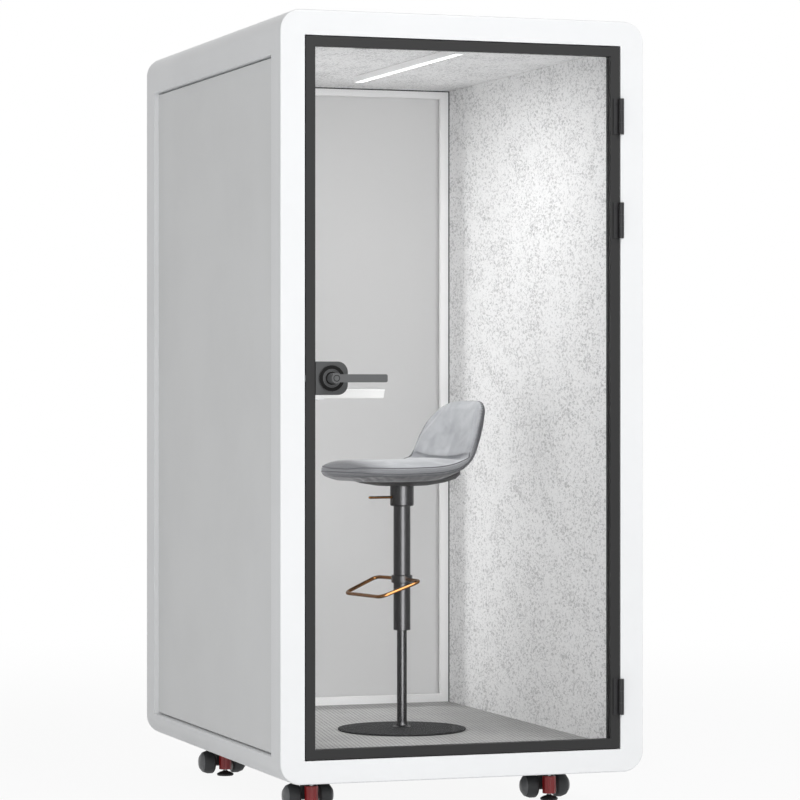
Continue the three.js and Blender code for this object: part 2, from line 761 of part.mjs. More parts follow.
piece(pod, 'rear_window_frame', windowFrame, WHITE);

const rearPaneEdge = WINDOW_REBATE - CLEARANCE;
const rearPane = block(
  -sightHalf - rearPaneEdge,
  sightHalf + rearPaneEdge,
  rearPaneStart,
  rearPaneStart + PANE_THICKNESS,
  sightBottom - rearPaneEdge,
  sightTop + rearPaneEdge,
);
piece(pod, 'rear_glass', rearPane, FROSTED);

const rearBead = frame(
  sightHalf + rearPaneEdge,
  sightBottom - rearPaneEdge,
  sightTop + rearPaneEdge,
  rearPaneEdge - BEAD_STEP,
  rearPaneEdge - BEAD_STEP,
  rearPaneEdge - BEAD_STEP,
  rearPaneStart + PANE_THICKNESS + CLEARANCE,
  windowEnd,
);
piece(pod, 'rear_glass_bead', rearBead, RUBBER);

// Door: a framed pane on the right-hand hinges
const door = new THREE.Group();
pod.add(door);
const paneStart = DOOR_SET_BACK;
const paneEnd = DOOR_SET_BACK + DOOR_PANE;
const doorSightHalf = DOOR_HALF - DOOR_FACE;
const doorSightBottom = DOOR_BOTTOM + DOOR_FACE;
const doorSightTop = DOOR_TOP - DOOR_FACE;
const handleX = -doorSightHalf + HANDLE_INSET;
const boltMiddle = paneStart / 2;
const boltChannel = block(
  -DOOR_HALF - 1,
  -doorSightHalf + 1,
  boltMiddle - BOLT_THICKNESS / 2 - BOLT_PLAY,
  boltMiddle + BOLT_THICKNESS / 2 + BOLT_PLAY,
  HANDLE_LEVEL - BOLT_HEIGHT / 2 - BOLT_PLAY,
  HANDLE_LEVEL + BOLT_HEIGHT / 2 + BOLT_PLAY,
);
const doorFrame = cut(
  block(-DOOR_HALF, DOOR_HALF, 0, DOOR_DEPTH, DOOR_BOTTOM, DOOR_TOP),
  block(-doorSightHalf, doorSightHalf, -1, DOOR_DEPTH + 1, doorSightBottom, doorSightTop),
  block(
    -doorSightHalf - DOOR_REBATE,
    doorSightHalf + DOOR_REBATE,
    paneStart - CLEARANCE,
    DOOR_DEPTH + 1,
    doorSightBottom - DOOR_REBATE,
    doorSightTop + DOOR_REBATE,
  ),
  boltChannel,
);
piece(door, 'door_frame', doorFrame, BLACK);

const doorPaneEdge = DOOR_REBATE - CLEARANCE;
const spindleHole = rodAlongY(HUB_RADIUS, -DOOR_DEPTH, 2 * DOOR_DEPTH, 24);
spindleHole.translate(handleX, 0, HANDLE_LEVEL);
const doorPane = cut(
  block(
    -doorSightHalf - doorPaneEdge,
    doorSightHalf + doorPaneEdge,
    paneStart,
    paneEnd,
    doorSightBottom - doorPaneEdge,
    doorSightTop + doorPaneEdge,
  ),
  spindleHole,
);
piece(door, 'door_glass', doorPane, GLASS);

const doorBead = frame(
  doorSightHalf + doorPaneEdge,
  doorSightBottom - doorPaneEdge,
  doorSightTop + doorPaneEdge,
  doorPaneEdge - BEAD_STEP,
  doorPaneEdge - BEAD_STEP,
  doorPaneEdge - BEAD_STEP,
  paneEnd + CLEARANCE,
  DOOR_DEPTH,
);
piece(door, 'door_bead', doorBead, RUBBER);

const sealOuter = OPENING_HALF - CLEARANCE;
const doorSeal = frame(
  sealOuter,
  OPENING_BOTTOM + CLEARANCE,
  OPENING_TOP - CLEARANCE,
  SEAL_WIDTH,
  SEAL_WIDTH,
  SEAL_WIDTH,
  DOOR_DEPTH + CLEARANCE,
  LIP_START - CLEARANCE,
);
piece(pod, 'door_seal', doorSeal, RUBBER);

// Hinges: the frame leaf carries the pin and the end knuckles, the door leaf the middle knuckle
const knuckle = (HINGE_HEIGHT - 2 * KNUCKLE_GAP) / 3;
const leafFace = -CLEARANCE;
const leafFront = leafFace - LEAF_THICKNESS;
const knuckleSide = Math.sqrt(KNUCKLE_RADIUS ** 2 - (KNUCKLE_AXIS + leafFront) ** 2) + KNUCKLE_GAP;

function knuckleTube(z0, z1, bore) {
  if (bore > 0) {
    return tubeAlongZ(KNUCKLE_RADIUS, bore, z0, z1, 20).translate(0, -KNUCKLE_AXIS, 0);
  }
  return rodAlongZ(KNUCKLE_RADIUS, z0, z1, 20).translate(0, -KNUCKLE_AXIS, 0);
}

function frameLeaf() {
  const reach = OPENING_HALF - HINGE_X + FRAME_LEAF_WIDTH;
  const plate = (z0, z1) => block(0, reach, -KNUCKLE_AXIS, leafFace, z0, z1);
  const upper = HINGE_HEIGHT - knuckle;
  const spine = block(knuckleSide, reach, leafFront, leafFace, 0, HINGE_HEIGHT);
  const pin = rodAlongZ(PIN_RADIUS, knuckle / 2, HINGE_HEIGHT - knuckle / 2, 14);
  pin.translate(0, -KNUCKLE_AXIS, 0);
  const trim = block(0, reach + 1, -KNUCKLE_AXIS - 1, leafFront, -1, HINGE_HEIGHT + 1);
  const arms = cut(join(plate(0, knuckle), plate(upper, HINGE_HEIGHT)), trim);
  return join(arms, spine, knuckleTube(0, knuckle, 0), knuckleTube(upper, HINGE_HEIGHT, 0), pin);
}

function doorLeaf() {
  const z0 = knuckle + KNUCKLE_GAP;
  const z1 = HINGE_HEIGHT - knuckle - KNUCKLE_GAP;
  const inner = DOOR_HALF - HINGE_X;
  const arm = block(-knuckleSide - 1, 0, leafFront, leafFace, z0, z1);
  const plate = block(inner - DOOR_LEAF_WIDTH, -knuckleSide, leafFront, leafFace, 0, HINGE_HEIGHT);
  const barrel = knuckleTube(z0, z1, 0);
  const bore = rodAlongZ(PIN_RADIUS + PIN_PLAY, -1, HINGE_HEIGHT + 1, 14).translate(0, -KNUCKLE_AXIS, 0);
  return cut(join(arm, plate, barrel), bore);
}

const hingeLevels = {
  upper: DOOR_TOP - UPPER_HINGE_DROP,
  middle: DOOR_TOP - MIDDLE_HINGE_DROP,
  lower: DOOR_BOTTOM + LOWER_HINGE_RISE,
};
for (const [label, level] of Object.entries(hingeLevels)) {
  const hinge = new THREE.Group();
  hinge.position.set(HINGE_X, 0, level - HINGE_HEIGHT / 2);
  pod.add(hinge);
  piece(hinge, `${label}_hinge_frame_leaf`, frameLeaf(), BLACK);
  piece(hinge, `${label}_hinge_door_leaf`, doorLeaf(), BLACK);
}

// Handle set on the door pane
const handle = new THREE.Group();
handle.position.set(handleX, 0, HANDLE_LEVEL);
door.add(handle);
const plateLeft = -HANDLE_INSET + CLEARANCE;
const plateRight = plateLeft + PLATE_WIDTH;
const plateOutline = roundedRectangle(
  plateLeft,
  plateRight,
  -PLATE_HEIGHT / 2,
  PLATE_HEIGHT / 2,
  [1, PLATE_RADIUS, PLATE_RADIUS, 1],
);
const spindleBore = rodAlongY(SPINDLE_RADIUS + SPINDLE_PLAY, -2 * LEVER_REACH, 2 * LEVER_REACH, 16);
const boltTail = -DOOR_HALF - BOLT_NOSE + BOLT_LENGTH - handleX;
const boltPocket = block(
  plateLeft - 1,
  boltTail + BOLT_TRAVEL + BOLT_PLAY,
  boltMiddle - BOLT_THICKNESS / 2 - BOLT_PLAY,
  boltMiddle + BOLT_THICKNESS / 2 + BOLT_PLAY,
  -BOLT_HEIGHT / 2 - BOLT_PLAY,
  BOLT_HEIGHT / 2 + BOLT_PLAY,
);

const outerPlateBack = paneStart - CLEARANCE;
const roseFront = -PLATE_PROUD - ROSE_THICKNESS;
const outerPlate = cut(
  join(
    prismAlongY(plateOutline, -PLATE_PROUD, outerPlateBack),
    rodAlongY(ROSE_RADIUS, roseFront, 0, 36),
  ),
  ringAlongY(ROSE_GROOVE_OUTER, ROSE_GROOVE_INNER, roseFront - 1, roseFront + ROSE_THICKNESS / 2),
  spindleBore,
  boltPocket,
);
piece(handle, 'handle_outer_plate', outerPlate, BLACK);

const innerPlateStart = paneEnd + CLEARANCE;
const innerPlateEnd = innerPlateStart + INNER_PLATE_THICKNESS;
const innerPlate = cut(prismAlongY(plateOutline, innerPlateStart, innerPlateEnd), spindleBore);
piece(handle, 'handle_inner_plate', innerPlate, BLACK);

// A lever: a bar with a rounded end, drawn along +X from the hub
function leverBar(y0, y1) {
  const half = LEVER_HEIGHT / 2;
  const outline = roundedRectangle(-HUB_RADIUS, LEVER_LENGTH, -half, half, [half - 1, 5, 5, half - 1]);
  return prismAlongY(outline, y0, y1);
}

const outerHub = rodAlongY(HUB_RADIUS, -LEVER_REACH + 1, roseFront - CLEARANCE, 24);
const innerLeverFace = innerPlateEnd + INNER_LEVER_REACH;
const spindleEnd = innerPlateEnd + INNER_LEVER_REACH / 2;
const spindle = rodAlongY(SPINDLE_RADIUS, -LEVER_REACH + 2, spindleEnd, 16);
const outerLever = join(leverBar(-LEVER_REACH, -LEVER_REACH + LEVER_THICKNESS), outerHub, spindle);
piece(handle, 'handle_outer_lever', outerLever, BLACK);

const innerHub = rodAlongY(HUB_RADIUS, innerPlateEnd + CLEARANCE, innerLeverFace - 1, 24);
const spindleSocket = rodAlongY(SPINDLE_RADIUS + CLEARANCE, 0, spindleEnd + CLEARANCE, 16);
const innerLever = cut(
  join(leverBar(innerLeverFace - LEVER_THICKNESS, innerLeverFace), innerHub),
  spindleSocket,
);
piece(handle, 'handle_inner_lever', innerLever, BLACK);

// Latch bolt: a spring catch whose short bevelled nose stands in the door gap in front of the strike
const boltNoseX = -DOOR_HALF - BOLT_NOSE;
const boltY0 = boltMiddle - BOLT_THICKNESS / 2;
const boltY1 = boltMiddle + BOLT_THICKNESS / 2;
const boltOutline = polygon([
  [boltNoseX, boltY0],
  [boltNoseX + BOLT_LENGTH, boltY0],
  [boltNoseX + BOLT_LENGTH, boltY1],
  [boltNoseX + BOLT_BEVEL, boltY1],
]);
const latchBolt = prismAlongZ(boltOutline, HANDLE_LEVEL - BOLT_HEIGHT / 2, HANDLE_LEVEL + BOLT_HEIGHT / 2);
piece(door, 'latch_bolt', latchBolt, STEEL);

const strikeX = -OPENING_HALF - STRIKE_THICKNESS;
const strike = cut(
  block(
    strikeX,
    -OPENING_HALF,
    (DOOR_DEPTH - STRIKE_WIDTH) / 2,
    (DOOR_DEPTH + STRIKE_WIDTH) / 2,
    HANDLE_LEVEL - STRIKE_HEIGHT / 2,
    HANDLE_LEVEL + STRIKE_HEIGHT / 2,
  ),
  block(
    strikeX - 1,
    -OPENING_HALF + 1,
    boltMiddle - BOLT_THICKNESS / 2 + 1,
    boltMiddle + BOLT_THICKNESS / 2 + STRIKE_HOLE_PLAY,
    HANDLE_LEVEL - BOLT_HEIGHT / 2 - STRIKE_HOLE_PLAY,
    HANDLE_LEVEL + BOLT_HEIGHT / 2 + STRIKE_HOLE_PLAY,
  ),
);
piece(pod, 'strike_plate', strike, STEEL);

// Wall desk on two angle brackets with a gusset
const deskWall = -WALL_INNER + CLEARANCE;
const deskUnder = DESK_TOP - DESK_THICKNESS;
const deskSection = polygon([
  [deskWall, deskUnder],
  [deskWall + DESK_REACH - DESK_UNDERCUT, deskUnder],
  [deskWall + DESK_REACH, DESK_TOP],
  [deskWall, DESK_TOP],
]);
piece(pod, 'desk_top', prismAlongY(deskSection, DESK_START, DESK_START + DESK_LENGTH), WHITE);

const bracketTop = deskUnder - CLEARANCE;
const bracketSection = polygon([
  [deskWall, bracketTop],
  [deskWall + BRACKET_REACH, bracketTop],
  [deskWall + BRACKET_REACH, bracketTop - BRACKET_WALL],
  [deskWall + BRACKET_WALL, bracketTop - BRACKET_WALL],
  [deskWall + BRACKET_WALL, bracketTop - BRACKET_DROP],
  [deskWall, bracketTop - BRACKET_DROP],
]);
const gussetSection = polygon([
  [deskWall + 1, bracketTop - 1],
  [deskWall + BRACKET_REACH - 12, bracketTop - 1],
  [deskWall + 1, bracketTop - BRACKET_DROP + 12],
]);
const bracketRows = {
  desk_front_bracket: DESK_START + BRACKET_INSET,
  desk_rear_bracket: DESK_START + DESK_LENGTH - BRACKET_INSET,
};
for (const [name, y] of Object.entries(bracketRows)) {
  const angle = prismAlongY(bracketSection, y - BRACKET_WIDTH / 2, y + BRACKET_WIDTH / 2);
  const gusset = prismAlongY(gussetSection, y - BRACKET_WALL / 2, y + BRACKET_WALL / 2);
  piece(pod, name, join(angle, gusset), WHITE);
}

// Stool, in its own frame: the sitter faces +X and Z starts on the carpet
const stool = new THREE.Group();
stool.position.set(STOOL_X, STOOL_Y, CARPET_TOP);
stool.rotation.z = THREE.MathUtils.degToRad(STOOL_HEADING);
pod.add(stool);

const rodBore = GAS_ROD_RADIUS + GAS_ROD_PLAY;
const stoolBase = turned([
  [0, CLEARANCE],
  [STOOL_BASE_RADIUS - 2, CLEARANCE],
  [STOOL_BASE_RADIUS, CLEARANCE + 2],
  [STOOL_BASE_RADIUS, STOOL_BASE_EDGE],
  [STOOL_BASE_RADIUS * 0.5, STOOL_BASE_EDGE + STOOL_BASE_DOME * 0.6],
  [POST_RADIUS + 12, STOOL_BASE_EDGE + STOOL_BASE_DOME],
  [POST_RADIUS + 4, STOOL_BASE_EDGE + STOOL_BASE_DOME + 4],
  [POST_RADIUS, STOOL_BASE_EDGE + STOOL_BASE_DOME + 14],
  [POST_RADIUS, POST_TOP],
  [rodBore, POST_TOP],
  [rodBore, STOOL_BASE_EDGE + STOOL_BASE_DOME + 14],
  [0, STOOL_BASE_EDGE + STOOL_BASE_DOME + 14],
], 44);
piece(stool, 'stool_base', stoolBase, DARK_STEEL);

piece(stool, 'stool_gas_rod', rodAlongZ(GAS_ROD_RADIUS, GAS_ROD_BOTTOM, GAS_ROD_TOP, 24), STEEL);

const sleeveBore = POST_RADIUS + SLEEVE_BORE_PLAY;
const collarTop = PAN_BOTTOM - CLEARANCE;
const rodSeat = GAS_ROD_TOP + CLEARANCE;
const sleeve = turned([
  [sleeveBore, SLEEVE_BOTTOM],
  [SLEEVE_RADIUS, SLEEVE_BOTTOM],
  [SLEEVE_RADIUS, COLLAR_BOTTOM],
  [COLLAR_RADIUS - 3, COLLAR_BOTTOM],
  [COLLAR_RADIUS, COLLAR_BOTTOM + 3],
  [COLLAR_RADIUS, collarTop],
  [0, collarTop],
  [0, rodSeat],
  [GAS_ROD_RADIUS + CLEARANCE, rodSeat],
  [GAS_ROD_RADIUS + CLEARANCE, COLLAR_BOTTOM + 4],
  [sleeveBore, COLLAR_BOTTOM + 4],
  [sleeveBore, SLEEVE_BOTTOM],
], 32);
const leverSocket = block(
  COLLAR_RADIUS - LEVER_SOCKET,
  LEVER_TIP,
  -LEVER_ROD - CLEARANCE,
  LEVER_ROD + CLEARANCE,
  LEVER_LEVEL - LEVER_ROD - CLEARANCE,
  LEVER_LEVEL + LEVER_ROD + LEVER_SWING_ROOM,
);
piece(stool, 'stool_sleeve', cut(sleeve, leverSocket), BLACK);

const leverStart = COLLAR_RADIUS - LEVER_SOCKET + LEVER_END_PLAY;
const stoolLever = turned([
  [0, leverStart],
  [LEVER_ROD, leverStart],
  [LEVER_ROD, LEVER_TIP - 3],
  [LEVER_ROD - 2, LEVER_TIP],
  [0, LEVER_TIP],
], 16).rotateY(Math.PI / 2).translate(0, 0, LEVER_LEVEL);
piece(stool, 'stool_lever', stoolLever, BRONZE);

// Cushion: ribs set square to the side profile, joined into one upholstered body
function cushionRibs(grow) {
  const middle = new THREE.CatmullRomCurve3(
    CUSHION_STATIONS.map(([forward, height]) => new THREE.Vector3(forward, 0, height)),
  );
  const last = CUSHION_STATIONS.length - 1;
  return CUSHION_STATIONS.map(([forward, height, half, thickness, crown, curl], station) => {
    const along = middle.getTangent(station / last);
    const facing = new THREE.Vector3(along.z, 0, -along.x);
    const crease = station === CREASE_STATION ? CREASE_DEPTH : 0;
    return Array.from({ length: CUSHION_RIB }, (_, index) => {
      const angle = index * Math.PI * 2 / CUSHION_RIB;
      const [c, s] = [Math.cos(angle), Math.sin(angle)];
      const share = Math.sign(c) * Math.abs(c) ** CUSHION_SQUARENESS;
      const seam = SEAM_RIBS.includes(index) ? Math.sign(c) * SEAM_DEPTH : 0;
      const side = share * (half + grow) - seam;
      const lift = Math.sign(s) * Math.abs(s) ** CUSHION_SQUARENESS * (thickness / 2 + grow);
      const swell = s > 0 ? (crown - crease) * (1 - share * share) : 0;
      const offset = lift + swell + curl * share * share;
      return new THREE.Vector3(forward, side, height).addScaledVector(facing, offset);
    });
  });
}

function skinOf(ribs) {
  const count = ribs[0].length;
  const points = ribs.flat();
  const triangles = [];
  for (let rib = 0; rib < ribs.length - 1; rib += 1) {
    for (let i = 0; i < count; i += 1) {
      const a = rib * count + i;
      const b = rib * count + (i + 1) % count;
      triangles.push(a, b, a + count, b, b + count, a + count);
    }
  }
  for (const rib of [0, ribs.length - 1]) {
    const centre = new THREE.Vector3();
    ribs[rib].forEach((point) => centre.addScaledVector(point, 1 / count));
    const hub = points.push(centre) - 1;
    for (let i = 0; i < count; i += 1) {
      const pair = [rib * count + i, rib * count + (i + 1) % count];
      triangles.push(hub, ...(rib === 0 ? pair.reverse() : pair));
    }
  }
  const geometry = new THREE.BufferGeometry().setFromPoints(points);
  geometry.setIndex(triangles);
  return geometry;
}

const cushion = skinOf(cushionRibs(0));
piece(stool, 'stool_cushion', cushion, VELVET);

// Seat pan: a shallow dish below the cushion, hollowed to its underside
const dish = turned([
  [0, PAN_BOTTOM],
  [PAN_LENGTH * 0.22, PAN_BOTTOM],
  [PAN_LENGTH * 0.36, PAN_BOTTOM + PAN_DEPTH * 0.18],
  [PAN_LENGTH * 0.46, PAN_BOTTOM + PAN_DEPTH * 0.42],
  [PAN_LENGTH * 0.5, PAN_BOTTOM + PAN_DEPTH * 0.7],
  [PAN_LENGTH * 0.5, PAN_BOTTOM + PAN_DEPTH],
  [0, PAN_BOTTOM + PAN_DEPTH],
], 40);
dish.scale(1, PAN_WIDTH / PAN_LENGTH, 1);
piece(stool, 'stool_seat_pan', cut(dish, skinOf(cushionRibs(CLEARANCE))), BLACK);

// Footrest: a bent rod whose ends meet a clamp round the sleeve
function bentRod(points, radius, bend) {
  const path = new THREE.CurvePath();
  let start = points[0];
  for (let i = 1; i < points.length - 1; i += 1) {
    const into = points[i].clone().sub(points[i - 1]).normalize();
    const out = points[i + 1].clone().sub(points[i]).normalize();
    const before = points[i].clone().addScaledVector(into, -bend);
    const after = points[i].clone().addScaledVector(out, bend);
    path.add(new THREE.LineCurve3(start, before));
    path.add(new THREE.QuadraticBezierCurve3(before, points[i], after));
    start = after;
  }
  path.add(new THREE.LineCurve3(start, points[points.length - 1]));
  const section = new THREE.Shape().absarc(0, 0, radius, 0, Math.PI * 2, false);
  const settings = { steps: 60, curveSegments: 4, extrudePath: path, bevelEnabled: false };
  return new THREE.ExtrudeGeometry(section, settings);
}

const restPoints = [
  new THREE.Vector3(0, CLAMP_RADIUS - 4, FOOTREST_REAR_LEVEL),
  new THREE.Vector3(FOOTREST_REAR, FOOTREST_REAR_HALF, FOOTREST_REAR_LEVEL),
  new THREE.Vector3(FOOTREST_FRONT, FOOTREST_FRONT_HALF, FOOTREST_FRONT_LEVEL),
  new THREE.Vector3(FOOTREST_FRONT, -FOOTREST_FRONT_HALF, FOOTREST_FRONT_LEVEL),
  new THREE.Vector3(FOOTREST_REAR, -FOOTREST_REAR_HALF, FOOTREST_REAR_LEVEL),
  new THREE.Vector3(0, -CLAMP_RADIUS + 4, FOOTREST_REAR_LEVEL),
];
const clampBottom = FOOTREST_REAR_LEVEL - CLAMP_HEIGHT / 2;
const clamp = tubeAlongZ(
  CLAMP_RADIUS,
  SLEEVE_RADIUS + CLEARANCE,
  clampBottom,
  clampBottom + CLAMP_HEIGHT,
  40,
);
piece(stool, 'stool_footrest', join(bentRod(restPoints, FOOTREST_ROD, 24), clamp), BRONZE);

// Castors: a swivelling yoke, twin wheels trailing behind it and a levelling foot on the swivel axis
const plateTop = BODY_BOTTOM - CLEARANCE;
const axleHeight = WHEEL_RADIUS + WHEEL_LIFT;

function castorHousing() {
  const yokeFront = THUMBWHEEL_RADIUS + 3;
  const yokeBack = CASTOR_TRAIL + YOKE_ROUND;
  const side = new THREE.Shape();
  side.moveTo(-CASTOR_NECK_RADIUS + 3, YOKE_TOP);
  side.lineTo(-CASTOR_NECK_RADIUS + 3, YOKE_UNDERSIDE + 4);
  side.lineTo(-CASTOR_NECK_RADIUS + 7, YOKE_UNDERSIDE);
  side.lineTo(yokeFront, YOKE_UNDERSIDE);
  side.lineTo(yokeFront, axleHeight);
  side.absarc(CASTOR_TRAIL, axleHeight, CASTOR_TRAIL - yokeFront, Math.PI, Math.PI * 2, false);
  side.lineTo(yokeBack, axleHeight + YOKE_ROUND);
  side.lineTo(CASTOR_NECK_RADIUS + 4, YOKE_TOP);
  side.closePath();
  const yoke = prismAlongX(side, -YOKE_HALF_WIDTH, YOKE_HALF_WIDTH);
  const neck = rodAlongZ(CASTOR_NECK_RADIUS, YOKE_TOP - 2, plateTop - CASTOR_PLATE + 1, 20);
  const plate = rodAlongZ(CASTOR_PLATE_RADIUS, plateTop - CASTOR_PLATE, plateTop, 28);
  const stemBore = rodAlongZ(STEM_RADIUS + STEM_PLAY, 0, BODY_BOTTOM + 1, 20);
  const axleBore = rodAlongX(AXLE_RADIUS + AXLE_PLAY, -BODY_WIDTH, BODY_WIDTH, 20);
  axleBore.translate(0, CASTOR_TRAIL, axleHeight);
  return cut(join(yoke, neck, plate), stemBore, axleBore);
}

function wheelSet() {
  const hub = AXLE_RADIUS + 3;
  const inside = YOKE_HALF_WIDTH + CLEARANCE;
  const half = [
    [0, WHEEL_OUTER],
    [WHEEL_RADIUS * 0.55, WHEEL_OUTER - WHEEL_DOME * 0.12],
    [WHEEL_RADIUS * 0.86, WHEEL_OUTER - WHEEL_DOME * 0.46],
    [WHEEL_RADIUS, WHEEL_OUTER - WHEEL_DOME],
    [WHEEL_RADIUS, WHEEL_INNER + WHEEL_CHAMFER],
    [WHEEL_RADIUS - WHEEL_CHAMFER, WHEEL_INNER],
    [hub, WHEEL_INNER],
    [hub, inside],
    [AXLE_RADIUS, inside],
  ];
  const other = half.map(([radius, x]) => [radius, -x]).reverse();
  const wheels = turned([...half, ...other], 22).rotateY(Math.PI / 2);
  return wheels.translate(0, CASTOR_TRAIL, axleHeight);
}

function levellingFoot() {
  const stem = turned([
    [0, 0],
    [FOOT_RADIUS - 2, 0],
    [FOOT_RADIUS, 2],
    [FOOT_RADIUS, FOOT_HEIGHT * 0.45],
    [FOOT_RADIUS * 0.7, FOOT_HEIGHT * 0.8],
    [STEM_RADIUS + 3, FOOT_HEIGHT],
    [STEM_RADIUS, FOOT_HEIGHT + 3],
    [STEM_RADIUS, STEM_TOP],
    [0, STEM_TOP],
  ], 20);
  const steps = THUMBWHEEL_FLUTES * 4;
  const flutes = Array.from({ length: steps }, (_, index) => {
    const angle = index * Math.PI * 2 / steps;
    const radius = THUMBWHEEL_RADIUS - THUMBWHEEL_FLUTE_DEPTH * (1 - Math.cos(angle * THUMBWHEEL_FLUTES)) / 2;
    return [radius * Math.cos(angle), radius * Math.sin(angle)];
  });
  return join(stem, prismAlongZ(polygon(flutes), THUMBWHEEL_BOTTOM, THUMBWHEEL_TOP));
}

const castorPlaces = {
  front_left: [-1, castorRows[0]],
  front_right: [1, castorRows[0]],
  rear_left: [-1, castorRows[1]],
  rear_right: [1, castorRows[1]],
};
for (const [place, [side, y]] of Object.entries(castorPlaces)) {
  const castor = new THREE.Group();
  castor.position.set(side * (HALF_WIDTH - CASTOR_FROM_SIDE), y, 0);
  pod.add(castor);
  piece(castor, `${place}_castor_housing`, castorHousing(), DARK_STEEL);
  piece(castor, `${place}_castor_wheels`, wheelSet(), TYRE);
  piece(castor, `${place}_levelling_foot`, levellingFoot(), RED);
}

export default pod;
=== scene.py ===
"""Looks of an acoustic office pod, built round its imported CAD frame.

The pod is a sound-proof cabin for one person: a white body on levelling castors, a framed glass
door, felt-lined walls, a desk on the left wall and an upholstered bar stool.
Lengths are in metres, +Z is up and the door faces -Y.
"""

import json
import logging
import math
from dataclasses import dataclass
from enum import Enum
from typing import Callable, Iterable, Optional, Sequence, Union

import bmesh
import bpy
from mathutils import Matrix, Vector, kdtree

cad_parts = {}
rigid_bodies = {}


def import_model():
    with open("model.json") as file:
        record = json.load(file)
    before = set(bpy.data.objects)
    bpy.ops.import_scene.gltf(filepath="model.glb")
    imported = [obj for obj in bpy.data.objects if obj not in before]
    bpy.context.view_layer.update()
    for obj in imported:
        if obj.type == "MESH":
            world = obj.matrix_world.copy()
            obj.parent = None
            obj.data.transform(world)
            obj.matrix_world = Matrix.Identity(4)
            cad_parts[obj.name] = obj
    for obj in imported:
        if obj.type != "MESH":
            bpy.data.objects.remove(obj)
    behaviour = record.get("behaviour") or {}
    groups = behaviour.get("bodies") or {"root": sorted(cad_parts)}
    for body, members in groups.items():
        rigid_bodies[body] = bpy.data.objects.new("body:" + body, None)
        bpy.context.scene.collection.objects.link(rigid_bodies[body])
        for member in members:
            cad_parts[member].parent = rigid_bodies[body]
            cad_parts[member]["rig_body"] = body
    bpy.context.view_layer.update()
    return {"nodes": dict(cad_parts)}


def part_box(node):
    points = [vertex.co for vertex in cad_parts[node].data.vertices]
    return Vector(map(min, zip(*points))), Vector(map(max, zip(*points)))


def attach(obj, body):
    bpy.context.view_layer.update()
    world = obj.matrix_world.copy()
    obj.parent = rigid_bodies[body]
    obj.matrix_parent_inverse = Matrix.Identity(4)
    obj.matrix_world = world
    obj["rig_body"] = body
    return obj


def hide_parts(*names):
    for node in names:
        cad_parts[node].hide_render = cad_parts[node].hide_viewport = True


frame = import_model()
LOG = logging.getLogger("pod")

Colour = tuple[float, float, float, float]
Point = tuple[float, float, float]


def tone(red: int, green: int, blue: int) -> Colour:
    """Turn a colour as a screen shows it into the light that it stands for.

    Args:
        red, green, blue: Levels from 0 to 255.

    Returns:
        The linear colour, opaque.
    """
    shares = [level / 255 for level in (red, green, blue)]
    linear = [s / 12.92 if s <= 0.04045 else ((s + 0.055) / 1.055) ** 2.4 for s in shares]
    return (linear[0], linear[1], linear[2], 1.0)


def mix_tones(first: Colour, second: Colour, share: float) -> Colour:
    """Blend two colours, the second by the given share."""
    return tuple(a + (b - a) * share for a, b in zip(first, second))


# Surfaces


class Field:
    """A value that varies over a surface: an output socket of a material's nodes."""

    def __init__(self, paint: "Paint", socket: bpy.types.NodeSocket) -> None:
        """Keep the socket and the paint that it belongs to."""
        self.paint = paint
        self.socket = socket

    def _sum(self, operation: str, first: "Number", second: "Number" = 0.0) -> "Field":
        """Add one Math node."""
        return self.paint.node("Math", {"operation": operation}, {0: first, 1: second})

    def __add__(self, other: "Number") -> "Field":
        """Add."""
        return self._sum("ADD", self, other)

    __radd__ = __add__

    def __sub__(self, other: "Number") -> "Field":
        """Subtract."""
        return self._sum("SUBTRACT", self, other)

    def __rsub__(self, other: "Number") -> "Field":
        """Subtract from a number."""
        return self._sum("SUBTRACT", other, self)

    def __mul__(self, other: "Number") -> "Field":
        """Multiply."""
        return self._sum("MULTIPLY", self, other)

    __rmul__ = __mul__

    def __pow__(self, other: "Number") -> "Field":
        """Raise to a power."""
        return self._sum("POWER", self, other)

    def __abs__(self) -> "Field":
        """Drop the sign."""
        return self._sum("ABSOLUTE", self)

    def larger(self, other: "Number") -> "Field":
        """Take the larger of two values."""
        return self._sum("MAXIMUM", self, other)

    def wave(self) -> "Field":
        """Take the sine."""
        return self._sum("SINE", self)

    def ramp(self, low: float, high: float) -> "Field":
        """Ease from 0 at low to 1 at high."""
        settings = {"interpolation_type": "SMOOTHSTEP"}
        return self.paint.node("MapRange", settings, {0: self, 1: low, 2: high, 3: 0.0, 4: 1.0})

    def sibling(self, output: Union[int, str]) -> "Field":
        """Give another output of the same node."""
        return Field(self.paint, self.socket.node.outputs[output])


Number = Union[Field, float]
Plug = Union[Field, float, Sequence[float]]


